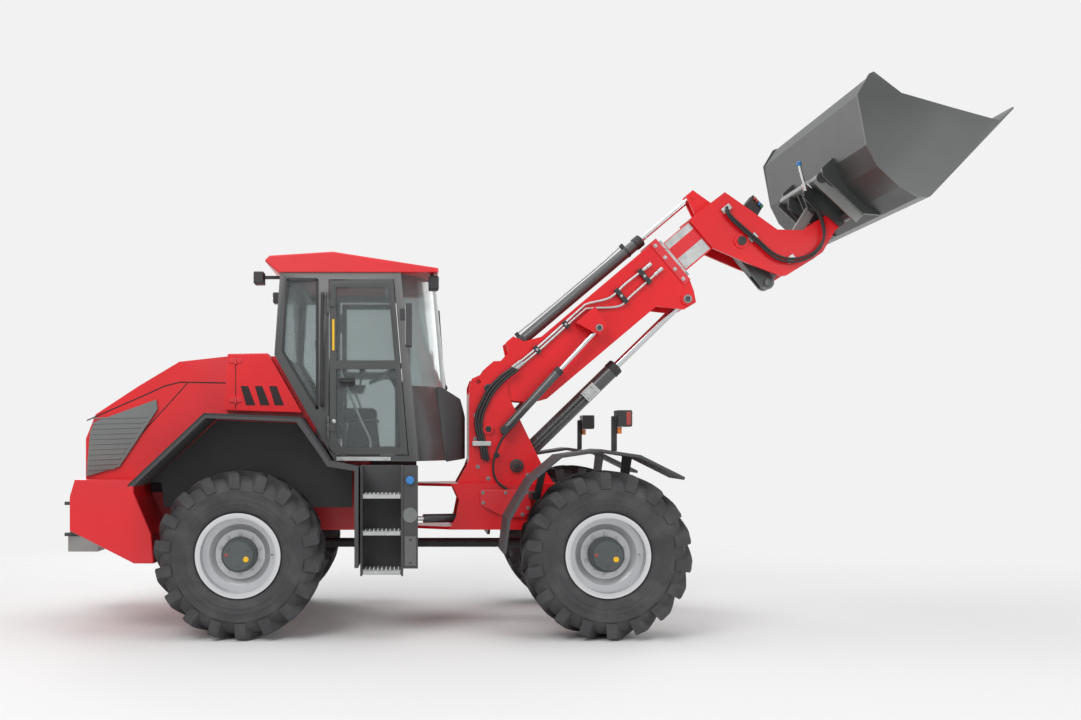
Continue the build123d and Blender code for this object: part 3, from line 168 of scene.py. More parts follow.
# Pale floor that takes the shadow and fades out far from the machine
FLOOR_HALF = 9.0
FLOOR_Z = -0.001
FADE_START = 4.2
FADE_END = 8.5
floor_mesh = bpy.data.meshes.new("floor")
floor_mesh.from_pydata([(-FLOOR_HALF, -FLOOR_HALF, FLOOR_Z), (FLOOR_HALF, -FLOOR_HALF, FLOOR_Z),
                        (FLOOR_HALF, FLOOR_HALF, FLOOR_Z), (-FLOOR_HALF, FLOOR_HALF, FLOOR_Z)],
                       [], [(0, 1, 2, 3)])
floor = bpy.data.objects.new("floor", floor_mesh)
bpy.context.scene.collection.objects.link(floor)
floor_paint = bpy.data.materials.new("floor_paint")
floor_paint.use_nodes = True
floor_tree = floor_paint.node_tree
floor_shader = floor_tree.nodes["Principled BSDF"]
floor_shader.inputs["Base Color"].default_value = srgb(238, 238, 238)
floor_shader.inputs["Roughness"].default_value = 0.9
clear = floor_tree.nodes.new("ShaderNodeBsdfTransparent")
floor_place = floor_tree.nodes.new("ShaderNodeTexCoord")
reach = floor_tree.nodes.new("ShaderNodeVectorMath")
reach.operation = "LENGTH"
floor_tree.links.new(floor_place.outputs["Object"], reach.inputs[0])
fade = floor_tree.nodes.new("ShaderNodeMapRange")
fade.inputs["From Min"].default_value = FADE_START
fade.inputs["From Max"].default_value = FADE_END
floor_tree.links.new(reach.outputs["Value"], fade.inputs["Value"])
floor_mix = floor_tree.nodes.new("ShaderNodeMixShader")
floor_tree.links.new(fade.outputs["Result"], floor_mix.inputs[0])
floor_tree.links.new(floor_shader.outputs[0], floor_mix.inputs[1])
floor_tree.links.new(clear.outputs[0], floor_mix.inputs[2])
floor_tree.links.new(floor_mix.outputs[0], floor_tree.nodes["Material Output"].inputs["Surface"])
floor_mesh.materials.append(floor_paint)


# Procedural materials
def noise(tree, place, scale, detail):
    node = tree.nodes.new("ShaderNodeTexNoise")
    node.inputs["Scale"].default_value = scale
    node.inputs["Detail"].default_value = detail
    tree.links.new(place, node.inputs["Vector"])
    return node.outputs["Fac"]


def ramp(tree, value, low, low_colour, high, high_colour):
    node = tree.nodes.new("ShaderNodeValToRGB")
    first, last = node.color_ramp.elements
    first.position, first.color = low, low_colour
    last.position, last.color = high, high_colour
    tree.links.new(value, node.inputs["Fac"])
    return node.outputs["Color"]


def blended(tree, share, first, second):
    node = tree.nodes.new("ShaderNodeMix")
    node.data_type = "RGBA"
    tree.links.new(share, node.inputs[0])
    tree.links.new(first, node.inputs[6])
    node.inputs[7].default_value = second
    return node.outputs[2]


def spread(tree, value, low, high):
    node = tree.nodes.new("ShaderNodeMapRange")
    node.inputs["From Min"].default_value = 0.3
    node.inputs["From Max"].default_value = 0.7
    node.inputs["To Min"].default_value = low
    node.inputs["To Max"].default_value = high
    tree.links.new(value, node.inputs["Value"])
    return node.outputs["Result"]


def tinted(colour, share):
    return tuple(min(1.0, channel * share) for channel in colour[:3]) + (1.0,)


BLACK = (0, 0, 0, 1)
WHITE = (1, 1, 1, 1)


def surface(name, colour, rough, metallic=0.0, coat=0.0, vary=0.06, patch=2.5, grain=220.0,
            relief=0.0006, worn=None, dusty=None):
    """Procedural finish: two shades in large patches, a fine grain, and wear or dust where given."""
    material = bpy.data.materials.new(name)
    material.use_nodes = True
    tree = material.node_tree
    shader = tree.nodes["Principled BSDF"]
    shader.inputs["Metallic"].default_value = metallic
    shader.inputs["Coat Weight"].default_value = coat
    shader.inputs["Coat Roughness"].default_value = 0.1
    place = tree.nodes.new("ShaderNodeTexCoord").outputs["Object"]
    patches = noise(tree, place, patch, 5)
    base = ramp(tree, patches, 0.36, tinted(colour, 1 - vary), 0.64, tinted(colour, 1 + vary))
    if dusty:
        low_dust = ramp(tree, noise(tree, place, 7.0, 8), 0.45, BLACK, 0.75, (0.35, 0.35, 0.35, 1))
        base = blended(tree, low_dust, base, dusty)
    if worn:
        edges = tree.nodes.new("ShaderNodeNewGeometry").outputs["Pointiness"]
        base = blended(tree, ramp(tree, edges, 0.53, BLACK, 0.62, WHITE), base, worn)
    tree.links.new(base, shader.inputs["Base Color"])
    fine = noise(tree, place, grain, 3)
    tree.links.new(spread(tree, fine, rough - 0.05, rough + 0.05), shader.inputs["Roughness"])
    bump = tree.nodes.new("ShaderNodeBump")
    bump.inputs["Strength"].default_value = 0.35
    bump.inputs["Distance"].default_value = relief
    tree.links.new(fine, bump.inputs["Height"])
    tree.links.new(bump.outputs["Normal"], shader.inputs["Normal"])
    return material


def glass(name, colour, rough=0.03):
    material = surface(name, colour, rough + 0.05, vary=0.02, relief=0.00005)
    shader = material.node_tree.nodes["Principled BSDF"]
    shader.inputs["Transmission Weight"].default_value = 0.9
    shader.inputs["IOR"].default_value = 1.3
    return material


red = surface("red_paint", srgb(226, 10, 24), 0.38, coat=0.15, vary=0.05, grain=260,
              worn=srgb(216, 62, 70))
plastic = surface("grained_plastic", srgb(68, 68, 70), 0.62, vary=0.07, grain=420, relief=0.0012)
black_plastic = surface("black_plastic", srgb(38, 38, 40), 0.5, vary=0.1, grain=420, relief=0.001)
cab_paint = surface("cab_paint", srgb(66, 67, 68), 0.42, coat=0.3, vary=0.04, worn=srgb(120, 120, 120))
panel_black = surface("door_panel_black", srgb(34, 35, 37), 0.28, coat=0.5, vary=0.08)
window = glass("tinted_window", srgb(196, 204, 204))
lens = glass("lamp_lens", srgb(236, 240, 240), 0.06)
mesh_grey = surface("grille_grey", srgb(118, 122, 121), 0.55, vary=0.06, grain=500, relief=0.002)
anthracite = surface("anthracite_steel", srgb(70, 73, 72), 0.42, metallic=0.25, vary=0.09, grain=180,
                     relief=0.001, worn=srgb(150, 152, 150))
barrel_paint = surface("barrel_grey", srgb(74, 76, 77), 0.36, coat=0.4, vary=0.08)
chrome = surface("rod_chrome", srgb(206, 208, 210), 0.14, metallic=1.0, vary=0.03, relief=0.0001)
zinc = surface("zinc_plate", srgb(186, 188, 188), 0.38, metallic=0.7, vary=0.1, patch=18.0, grain=120)
cast = surface("cast_steel", srgb(44, 44, 46), 0.6, vary=0.12, grain=90, relief=0.002,
               dusty=srgb(92, 86, 78))
silver = surface("rim_silver", srgb(190, 191, 194), 0.36, metallic=0.55, vary=0.05, grain=160,
                 worn=srgb(215, 216, 218))
rubber = surface("tyre_rubber", srgb(58, 58, 60), 0.72, vary=0.1, patch=5.0, grain=340, relief=0.0016,
                 dusty=srgb(104, 102, 100))
hose_rubber = surface("hose_rubber", srgb(40, 39, 39), 0.5, vary=0.12, grain=700, relief=0.002)
hub_grey = surface("hub_grey", srgb(78, 84, 84), 0.5, vary=0.1, grain=120, relief=0.002)
yellow = surface("signal_yellow", srgb(240, 190, 30), 0.4, vary=0.04)
amber = surface("amber_lens", srgb(226, 120, 20), 0.25, coat=0.6, vary=0.05)
lamp_red = surface("red_lens", srgb(160, 52, 44), 0.25, coat=0.6, vary=0.05)
blue = surface("blue_cap", srgb(54, 128, 196), 0.4, vary=0.05)
green = surface("green_cap", srgb(30, 120, 84), 0.4, vary=0.05)
seat_cloth = surface("seat_cloth", srgb(46, 47, 50), 0.9, vary=0.14, patch=60.0, grain=900,
                     relief=0.004)
# Dark red strip colour: real panel gaps on the hood, and painted shade in the hood's crease and in the
# service boxes' louvre slots
gap_and_painted_shade = surface("panel_gap_and_painted_shade", srgb(30, 14, 16), 0.7, vary=0.1)

# Finish of each CAD node
FINISH = {
    red: ["boom_head", "outer_boom", "inner_boom", "front_chassis", "rear_chassis", "hood", "cab_roof",
          "counterweight", "service_boxes"],
    plastic: ["front_fenders", "rear_fenders", "front_cowl", "steps", "mirrors"],
    cab_paint: ["cab_frame", "door_left", "door_right"],
    window: ["cab_glass", "door_glass_left", "door_glass_right"],
    mesh_grey: ["side_grilles"],
    cast: ["side_pins", "front_axle", "rear_axle", "drive_shaft", "rear_shaft", "engine_block"],
    anthracite: ["bucket", "quick_hitch", "tilt_lever", "tilt_link", "tow_hitch"],
    barrel_paint: ["lift_barrel", "side_barrels", "telescope_barrel", "steering_barrel"],
    chrome: ["lift_rod", "side_rods", "telescope_rod", "steering_rod"],
    silver: [f"rim_{end}_{hand}" for end in AXLES for hand, _ in SIDES],
    rubber: [f"tyre_{end}_{hand}" for end in AXLES for hand, _ in SIDES],
    black_plastic: ["front_lamps", "cab_lamps"],
    seat_cloth: ["seat"],
    panel_black: ["steering_column"],
}
for material, names in FINISH.items():
    for name in names:
        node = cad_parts[name]
        node.data.materials.clear()
        node.data.materials.append(material)


def soften(name, width, angle=40):
    """Rounds the sheet-metal edges of a CAD node by a modifier, its own mesh left as it is."""
    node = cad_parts[name]
    weld = node.modifiers.new("weld", "WELD")
    weld.merge_threshold = 0.00002
    round_off = node.modifiers.new("edges", "BEVEL")
    round_off.width = width
    round_off.segments = 2
    round_off.limit_method = "ANGLE"
    round_off.angle_limit = radians(angle)
    round_off.use_clamp_overlap = True


for name, width in (
    ("hood", 0.012), ("service_boxes", 0.008), ("cab_roof", 0.012), ("counterweight", 0.010),
    ("front_fenders", 0.006), ("rear_fenders", 0.006), ("front_cowl", 0.008), ("cab_frame", 0.005),
    ("door_left", 0.005), ("door_right", 0.005), ("side_grilles", 0.004), ("outer_boom", 0.004),
    ("boom_head", 0.005), ("inner_boom", 0.004), ("front_chassis", 0.004), ("bucket", 0.004),
    ("mirrors", 0.004), ("front_lamps", 0.008), ("cab_lamps", 0.008), ("steps", 0.003),
):
    soften(name, width)


# Mesh makers
def slab(mesh, corners, depth):
    """Plate with an outline and a depth vector."""
    front = [mesh.verts.new(corner) for corner in corners]
    back = [mesh.verts.new(Vector(corner) + Vector(depth)) for corner in corners]
    mesh.faces.new(front)
    mesh.faces.new(list(reversed(back)))
    for index in range(len(front)):
        mesh.faces.new((front[index], front[index - 1], back[index - 1], back[index]))


def panel(mesh, place, low, high, y, depth):
    """Rectangular plate between two opposite corners, given in a place function's own terms."""
    (near, under), (far, over) = low, high
    slab(mesh, [place(near, under, y), place(far, under, y), place(far, over, y), place(near, over, y)],
         depth)


def lathe(mesh, profile, centre, axis, steps=32):
    """Turned form: radius and height pairs about an axis, closed where a radius is nothing."""
    centre = Vector(centre)
    axis = Vector(axis).normalized()
    across = axis.orthogonal().normalized()
    over = axis.cross(across)
    rings = []
    for radius, height in profile:
        middle = centre + axis * height
        if radius == 0:
            rings.append([mesh.verts.new(middle)])
            continue
        rings.append([
            mesh.verts.new(middle + (across * cos(turn) + over * sin(turn)) * radius)
            for turn in (2 * pi * step / steps for step in range(steps))
        ])
    if len(rings[0]) > 1 or len(rings[-1]) > 1:
        rings.append(rings[0])
    for low, high in zip(rings, rings[1:]):
        if len(low) == 1 and len(high) == 1:
            continue
        for step in range(steps):
            after = (step + 1) % steps
            corners = [low[step % len(low)], low[after % len(low)],
                       high[after % len(high)], high[step % len(high)]]
            mesh.faces.new(list(dict.fromkeys(corners)))


def smooth_line(points, steps=6):
    """Points along a smooth line through the given ones."""
    points = [Vector(point) for point in points]
    line = []
    ends = [points[0] * 2 - points[1]] + points + [points[-1] * 2 - points[-2]]
    for before, start, end, after in zip(ends, ends[1:], ends[2:], ends[3:]):
        for step in range(steps):
            t = step / steps
            line.append(0.5 * (2 * start + (end - before) * t
                               + (2 * before - 5 * start + 4 * end - after) * t ** 2
                               + (3 * start - before - 3 * end + after) * t ** 3))
    return line + [points[-1]]


def tube(mesh, points, radius, sides=10, steps=6):
    """Round bar, pipe or hose swept along a smooth line, its ends closed."""
    line = smooth_line(points, steps) if steps > 1 else [Vector(point) for point in points]
    heading = (line[1] - line[0]).normalized()
    across = heading.orthogonal().normalized()
    rings = []
    for index, point in enumerate(line):
        ahead = line[min(index + 1, len(line) - 1)] - line[max(index - 1, 0)]
        ahead.normalize()
        across = (across - ahead * across.dot(ahead)).normalized()
        over = ahead.cross(across)
        rings.append([
            mesh.verts.new(point + (across * cos(turn) + over * sin(turn)) * radius)
            for turn in (2 * pi * step / sides for step in range(sides))
        ])
    for low, high in zip(rings, rings[1:]):
        for step in range(sides):
            after = (step + 1) % sides
            mesh.faces.new((low[step], low[after], high[after], high[step]))
    mesh.faces.new(list(reversed(rings[0])))
    mesh.faces.new(rings[-1])


def bolt(mesh, centre, axis, radius):
    """Hexagon head on its washer."""
    lathe(mesh, [(0, 0), (radius * 1.5, 0), (radius * 1.5, radius * 0.25), (0, radius * 0.25)],
          centre, axis, 20)
    start = Vector(centre) + Vector(axis).normalized() * radius * 0.25
    lathe(mesh, [(0, 0), (radius, 0), (radius, radius * 0.6), (radius * 0.8, radius * 0.8),
                 (0, radius * 0.8)], start, axis, 6)


def pin_cap(mesh, place, out, radius, rim):
    """Domed cap on a pin's end, its rim standing off the face by the given height."""
    lathe(mesh, [(0, 0), (radius, 0), (radius, rim), (radius * 0.55, rim + 0.004),
                 (radius * 0.5, rim - 0.002), (0, rim - 0.002)], place, (0, out, 0), 28)


def piece(name, mesh, material, body, bevel=0.0, angle=35):
    """Makes an object of a mesh, gives it its finish and lets it ride on its body."""
    bmesh.ops.recalc_face_normals(mesh, faces=mesh.faces)
    data = bpy.data.meshes.new(name)
    mesh.to_mesh(data)
    mesh.free()
    data.materials.append(material)
    for polygon in data.polygons:
        polygon.use_smooth = True
    data.set_sharp_from_angle(angle=radians(angle))
    thing = bpy.data.objects.new(name, data)
    bpy.context.scene.collection.objects.link(thing)
    if bevel:
        round_off = thing.modifiers.new("edges", "BEVEL")
        round_off.width = bevel
        round_off.segments = 2
        round_off.limit_method = "ANGLE"
        round_off.angle_limit = radians(angle)
    if body:
        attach(thing, body)
    return thing


# Wheels: nuts, valve stems, and hub caps with their plugs and drains
NUT_COUNT = 10
NUT_CIRCLE = 0.160
DISC_FACE = 0.080
HUB_RADIUS = 0.1365
HUB_REACH = 0.207
for end, axle_x in AXLES.items():
    for hand, out in SIDES:
        body = f"wheel_{end}_{hand}"
        middle = Vector((axle_x, out * TRACK_HALF, AXLE_Z))
        outward = Vector((0, out, 0))
        nuts = bmesh.new()
        for step in range(NUT_COUNT):
            turn = 2 * pi * (step + 0.5) / NUT_COUNT
            spot = middle + Vector((cos(turn), 0, sin(turn))) * NUT_CIRCLE + outward * DISC_FACE
            bolt(nuts, spot, outward, 0.013)
        stem = middle + Vector((0.262, out * 0.110, 0.0))
        tube(nuts, [stem, stem + Vector((-0.02, out * 0.05, 0))], 0.006, steps=1)
        piece(f"wheel_nuts_{end}_{hand}", nuts, zinc, body)
        cap = bmesh.new()
        lathe(cap, [(0, 0.081), (HUB_RADIUS + 0.003, 0.081), (HUB_RADIUS + 0.003, 0.098),
                    (HUB_RADIUS, 0.100), (HUB_RADIUS - 0.003, 0.176), (0.112, HUB_REACH),
                    (0.030, HUB_REACH + 0.003), (0, HUB_REACH + 0.003)], middle, outward, 64)
        for step in range(3):
            turn = 2 * pi * step / 3 + 0.5
            spot = middle + Vector((cos(turn), 0, sin(turn))) * 0.085 + outward * HUB_REACH
            bolt(cap, spot, outward, 0.007)
        piece(f"hub_cap_{end}_{hand}", cap, hub_grey, body)
        plug = bmesh.new()
        spot = middle + Vector((0.062, 0, -0.028)) + outward * HUB_REACH
        lathe(plug, [(0, 0), (0.022, 0), (0.022, 0.005), (0.017, 0.008), (0.015, 0.005), (0, 0.005)],
              spot, outward, 28)
        piece(f"hub_plug_{end}_{hand}", plug, yellow, body)
        drain = bmesh.new()
        spot = middle + Vector((-0.090, 0, 0.004)) + outward * (HUB_REACH - 0.004)
        lathe(drain, [(0, 0), (0.013, 0), (0.013, 0.006), (0.009, 0.008), (0, 0.008)],
              spot, outward, 20)
        piece(f"hub_drain_{end}_{hand}", drain, lamp_red, body)

# Tyres: a smooth carcass with chevron lugs that wrap over the shoulder, on the CAD tyres' places
LUG_COUNT = 18
LUG_TURN = 0.185
LUG_DRIFT = 0.195
LUG_START = 0.018
LUG_REACH = 0.267
CARCASS = [
    (0.306, 0.196), (0.338, 0.201), (0.343, 0.216), (0.357, 0.229), (0.390, 0.238), (0.402, 0.2405),
    (0.405, 0.2435), (0.408, 0.2408), (0.440, 0.2440), (0.447, 0.2470), (0.450, 0.2445),
    (0.500, 0.2445), (0.506, 0.2470), (0.510, 0.2435), (0.535, 0.2400), (0.568, 0.2230),
    (0.594, 0.1960), (0.611, 0.1600), (0.614, 0.0800), (0.614, 0.0),
]
LUG_STATIONS = [
    (-0.018, 0.6540, 0.600, 0.033, 0.043), (0.060, 0.6540, 0.600, 0.033, 0.044),
    (0.130, 0.6535, 0.600, 0.034, 0.046), (0.190, 0.6525, 0.590, 0.036, 0.049),
    (0.225, 0.6480, 0.562, 0.038, 0.052), (0.2490, 0.6360, 0.520, 0.040, 0.054),
]
for end, axle_x in AXLES.items():
    for hand, out in SIDES:
        middle = Vector((axle_x, out * TRACK_HALF, AXLE_Z))
        mesh = bmesh.new()
        lathe(mesh, CARCASS + [(r, -y) for r, y in reversed(CARCASS[:-1])], middle, (0, 1, 0), 96)
        for chevron in (1, -1):
            for step in range(LUG_COUNT):
                centre = 2 * pi * (step + 0.25 - 0.25 * chevron) / LUG_COUNT - LUG_TURN
                rings = []
                for y, top_r, low_r, top_half, low_half in LUG_STATIONS:
                    along = LUG_DRIFT * ((y + LUG_START) / LUG_REACH - 0.5) / AXLE_Z
                    corners = ((low_r, -low_half), (top_r, -top_half),
                               (top_r, top_half), (low_r, low_half))
                    rings.append([
                        mesh.verts.new(middle + Vector((
                            sin(centre + along + half / AXLE_Z) * r,
                            y * chevron * out,
                            cos(centre + along + half / AXLE_Z) * r,
                        )))
                        for r, half in corners
                    ])
                for low, high in zip(rings, rings[1:]):
                    for corner in range(4):
                        mesh.faces.new((low[corner - 1], low[corner], high[corner], high[corner - 1]))
                mesh.faces.new(rings[0])
                mesh.faces.new(list(reversed(rings[-1])))
        tyre = piece(f"tyre_detail_{end}_{hand}", mesh, rubber, f"wheel_{end}_{hand}",
                     0.004, 38)
        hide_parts(f"tyre_{end}_{hand}")

# Hydraulic pipes along the boom with their clamps and fittings, the studs, and the pins' caps
PIPE_Y = 0.212
PIPE_CLAMP_Y = 0.2012
PIPES = (
    [(0.275, 0.003), (0.533, -0.002), (1.020, 0.011), (1.116, 0.005), (1.297, -0.077), (1.475, -0.073),
     (1.754, -0.083)],
    [(0.290, -0.026), (0.533, -0.030), (1.020, -0.018), (1.110, -0.040), (1.308, -0.182),
     (1.458, -0.182), (1.803, -0.174)],
)
for hand, out in SIDES:
    pipes = bmesh.new()
    for line in PIPES:
        tube(pipes, [boom(u, v, PIPE_Y * out) for u, v in line], 0.010, 12, 8)
        for (u, v), (far_u, far_v) in ((line[-1], line[-2]), (line[0], line[1])):
            way = (boom(far_u, far_v) - boom(u, v)).normalized()
            start = boom(u, v, PIPE_Y * out)
            tube(pipes, [start, start + way * 0.045], 0.0165, 6, 1)
            tube(pipes, [start + way * 0.050, start + way * 0.085], 0.0145, 6, 1)
    piece(f"boom_pipes_{hand}", pipes, zinc, "boom")
    clamps = bmesh.new()
    for u, v, drop in ((0.533, 0.022, 0.075), (0.860, 0.026, 0.070), (1.380, -0.052, 0.155),
                       (1.640, -0.052, 0.155)):
        panel(clamps, boom, (u - 0.020, v), (u + 0.020, v - drop), PIPE_CLAMP_Y * out,
              (0, 0.026 * out, 0))
    piece(f"pipe_clamps_{hand}", clamps, black_plastic, "boom", 0.003)
    studs = bmesh.new()
    for u, v in ((0.533, -0.014), (0.860, -0.008), (1.380, -0.130), (1.640, -0.128)):
        bolt(studs, boom(u, v, 0.2275 * out), (0, out, 0), 0.008)
    for u, v in ((1.885, 0.010), (1.885, -0.120), (1.885, -0.250), (1.885, -0.360)):
        bolt(studs, boom(u, v, 0.1975 * out), (0, out, 0), 0.011)
    piece(f"boom_studs_{hand}", studs, zinc, "boom")
    pins = bmesh.new()
    for (u, v), radius, reach in (((1.803, -0.516), 0.036, 0.1995), ((1.040, -0.211), 0.030, 0.3265)):
        pin_cap(pins, boom(u, v, reach * out), out, radius, 0.006)
    piece(f"boom_pin_caps_{hand}", pins, anthracite, "boom")
    frame_pins = bmesh.new()
    for (x, z), radius, reach in (((-0.160, 1.990), 0.038, 0.2395), ((0.080, 1.330), 0.031, 0.2395),
                                  ((-0.162, 1.644), 0.026, 0.2455), ((-0.093, 1.421), 0.026, 0.2455)):
        pin_cap(frame_pins, side(x, z, reach * out), out, radius, 0.005)
    piece(f"tower_pin_caps_{hand}", frame_pins, cast, "front_frame")

# Telescope cylinder: gland, end clamp, port blocks and its thin pipe
TELE_V = 0.130
TELE_BARREL_RADIUS = 0.0485
TELE_ROD_RADIUS = 0.0255
TELE_BARREL_END = 1.8
tele = bmesh.new()
for start_u, end_u, radius in ((1.805, 1.875, 0.055), (0.500, 0.528, 0.054), (1.700, 1.722, 0.053)):
    start, end = boom(start_u, TELE_V), boom(end_u, TELE_V)
    length = (end - start).length
    inner = TELE_BARREL_RADIUS if end_u < TELE_BARREL_END else TELE_ROD_RADIUS
    lathe(tele, [(TELE_BARREL_RADIUS, 0), (radius, 0.002), (radius, length - 0.002), (inner, length)],
          start, end - start, 36)
for u in (0.515, 1.711):
    panel(tele, boom, (u - 0.016, TELE_V + 0.046), (u + 0.016, TELE_V + 0.085), -0.020, (0, 0.040, 0))
piece("telescope_gland", tele, cast, "boom", 0.002)
tele_pipe = bmesh.new()
tube(tele_pipe, [boom(0.530, TELE_V + 0.073), boom(0.80, TELE_V + 0.066), boom(1.20, TELE_V + 0.066),
                 boom(1.50, TELE_V + 0.066), boom(1.697, TELE_V + 0.073)], 0.008, 10, 6)
piece("telescope_pipe", tele_pipe, zinc, "boom")

# Wear strips on the inner boom, and the silver clamp ahead of the collar
strips = bmesh.new()
for _, out in SIDES:
    for low_v, high_v in ((-0.088, -0.024), (-0.312, -0.200)):
        panel(strips, boom, (1.975, low_v), (2.248, high_v), INNER_BOOM_FACE * out,
              (0, 0.0007 * out, 0))
piece("wear_strips", strips, zinc, "telescope")
collar = bmesh.new()
for _, out in SIDES:
    panel(collar, boom, (1.9305, 0.020), (1.955, -0.365), 0.1435 * out, (0, 0.040 * out, 0))
    for v in (-0.060, -0.270):
        bolt(collar, boom(1.943, v, COLLAR_CLAMP_FACE * out), (0, out, 0), 0.009)
for low_v, high_v in ((-0.0165, 0.020), (-0.365, -0.327)):
    panel(collar, boom, (1.9305, low_v), (1.955, high_v), -COLLAR_CLAMP_FACE,
          (0, 2 * COLLAR_CLAMP_FACE, 0))
piece("collar_clamp", collar, zinc, "boom", 0.002)

# Hoses: over the boom's heel, to the side cylinders, and over the head to the hitch
HEEL_HOSE = [(0.044, 2.167), (-0.070, 2.081), (-0.166, 1.977), (-0.223, 1.872), (-0.261, 1.777),
             (-0.270, 1.663), (-0.232, 1.511), (-0.213, 1.387)]
SIDE_HOSE = [(0.158, 1.815), (0.053, 1.682), (-0.033, 1.587), (-0.099, 1.454), (-0.127, 1.321),
             (-0.099, 1.207), (-0.004, 1.130), (0.072, 1.111)]
SIDE_HOSE_Y = 0.326
HEAD_HOSE = [(2.544, -0.143), (2.523, -0.239), (2.565, -0.534), (2.600, -0.732), (2.696, -0.857),
             (2.854, -0.923), (3.020, -0.873), (3.120, -0.688), (3.127, -0.481)]


def bent(name, mesh):
    """A hose fixed where it is drawn, riding on no body."""
    hose = piece(name, mesh, hose_rubber, None)
    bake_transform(hose)


for hand, out in SIDES:
    heel = bmesh.new()
    for index in range(3):
        shift = 0.027 * index
        tube(heel, [side(x + shift * 0.9, z - shift * 0.35, (0.258 - 0.004 * index) * out)
                    for x, z in HEEL_HOSE], 0.0125, 12, 8)
    bent(f"heel_hoses_{hand}", heel)
    guard = bmesh.new()
    panel(guard, side, (-0.300, 1.500), (-0.140, 1.540), 0.2235 * out, (0, 0.050 * out, 0))
    piece(f"hose_clamp_{hand}", guard, zinc, "front_frame", 0.003)
    side_hose = bmesh.new()
    line = [side(*SIDE_HOSE[0], 0.312 * out)]
    line += [side(x, z, SIDE_HOSE_Y * out) for x, z in SIDE_HOSE[1:]]
    tube(side_hose, line, 0.011, 12, 8)
    bent(f"side_hose_{hand}", side_hose)
    head_hose = bmesh.new()
    for index in range(2):
        tube(head_hose, [boom(u + 0.020 * index, v + 0.018 * index, 0.214 * out)
                         for u, v in HEAD_HOSE], 0.0105, 12, 8)
    bent(f"head_hoses_{hand}", head_hose)
    saddle = bmesh.new()
    for u, v in ((2.560, -0.480), (2.690, -0.830)):
        panel(saddle, boom, (u - 0.022, v - 0.022), (u + 0.052, v + 0.030), HEAD_FACE * out,
              (0, 0.028 * out, 0))
    panel(saddle, boom, (2.515, -0.165), (2.600, -0.115), HEAD_FACE * out, (0, 0.030 * out, 0))
    piece(f"head_hose_saddles_{hand}", saddle, zinc, "telescope", 0.004)
    lever_caps = bmesh.new()
    lathe(lever_caps, [(0, 0), (0.039, 0), (0.039, 0.004), (0.020, 0.008), (0.018, 0.003), (0, 0.003)],
          boom(2.484, -0.435, 0.1925 * out), (0, out, 0), 32)
    piece(f"lever_pin_cap_{hand}", lever_caps, cast, "telescope")

# Multi-coupler with its four caps at the boom's head, and the locking rod on the hitch
coupler = bmesh.new()
slab(coupler, [boom(2.745, -0.225, -0.060), boom(2.860, -0.200, -0.060), boom(2.870, -0.330, -0.060),
               boom(2.760, -0.370, -0.060)], (0, 0.120, 0))
slab(coupler, [boom(2.700, -0.330, -0.030), boom(2.780, -0.330, -0.030), boom(2.790, -0.420, -0.030),
               boom(2.730, -0.430, -0.030)], (0, 0.060, 0))
piece("coupler_block", coupler, cast, "telescope", 0.004)
for index, (material, slot) in enumerate(((lamp_red, "service_red"), (lamp_red, "service_red"),
                                          (blue, "lamp_housing"), (green, "lamp_housing"))):
    cap = bmesh.new()
    start = boom(2.842, -0.236 - 0.030 * index, -0.061)
    lathe(cap, [(0, 0), (0.012, 0), (0.013, 0.004), (0.013, 0.026), (0.009, 0.030), (0, 0.030)],
          start, (0, -1, 0), 24)
    piece(f"coupler_cap_{index}", cap, material, "telescope")
rod = bmesh.new()
tube(rod, [scoop(0.016, 0.563, -0.330), scoop(-0.102, 0.378, -0.330)], 0.012, 12, 1)
tube(rod, [scoop(-0.068, 0.432, -0.330), scoop(-0.102, 0.378, -0.330)], 0.021, 14, 1)
panel(rod, scoop, (-0.050, 0.350), (0.020, 0.420), -0.320, (0, -0.020, 0))
piece("locking_rod", rod, chrome, "bucket")
rod_cap = bmesh.new()
lathe(rod_cap, [(0, 0), (0.018, 0), (0.020, 0.005), (0.020, 0.030), (0.012, 0.036), (0, 0.036)],
      scoop(0.016, 0.563, -0.330), scoop(0.016, 0.563) - scoop(-0.102, 0.378), 24)
piece("locking_rod_cap", rod_cap, blue, "bucket")
hitch_caps = bmesh.new()
for _, out in SIDES:
    for (a, b), radius, reach in (((0.0, 0.0), 0.040, 0.2072), ((0.012, 0.372), 0.044, 0.4715)):
        lathe(hitch_caps, [(0, 0), (radius, 0), (radius, 0.005), (radius * 0.5, 0.008),
                           (radius * 0.45, 0.003), (0, 0.003)],
              scoop(a, b, reach * out), (0, out, 0), 28)
piece("hitch_pin_caps", hitch_caps, cast, "bucket")

# Valve blocks and pipes on the lift cylinder, and the glands of the lift and side cylinders
lift_base, lift_head = Vector((0.080, 0, 1.330)), boom(1.803, -0.516)
lift_way = (lift_head - lift_base).normalized()
lift_over = lift_way.cross(Vector((0, -1, 0)))


def lift(along, over, y=0.0):
    """Point along and across the lift cylinder, measured from its base pin."""
    return lift_base + lift_way * along + lift_over * over + Vector((0, y, 0))


for hand, out in SIDES:
    valve = bmesh.new()
    panel(valve, lift, (0.840, -0.050), (0.980, 0.052), 0.060 * out, (0, 0.050 * out, 0))
    for along in (0.870, 0.950):
        bolt(valve, lift(along, 0.026, 0.110 * out), (0, out, 0), 0.010)
        bolt(valve, lift(along, -0.026, 0.110 * out), (0, out, 0), 0.010)
    piece(f"valve_block_{hand}", valve, zinc, "lift_barrel", 0.004)
    lines = bmesh.new()
    tube(lines, [lift(0.842, 0.010, 0.086 * out), lift(0.700, 0.010, 0.082 * out),
                 lift(0.450, 0.010, 0.080 * out), lift(0.160, 0.010, 0.080 * out)], 0.010, 12, 6)
    tube(lines, [lift(0.842, -0.022, 0.086 * out), lift(0.700, -0.020, 0.080 * out),
                 lift(0.450, -0.020, 0.078 * out), lift(0.200, -0.020, 0.078 * out)], 0.009, 12, 6)
    piece(f"lift_lines_{hand}", lines, barrel_paint, "lift_barrel")
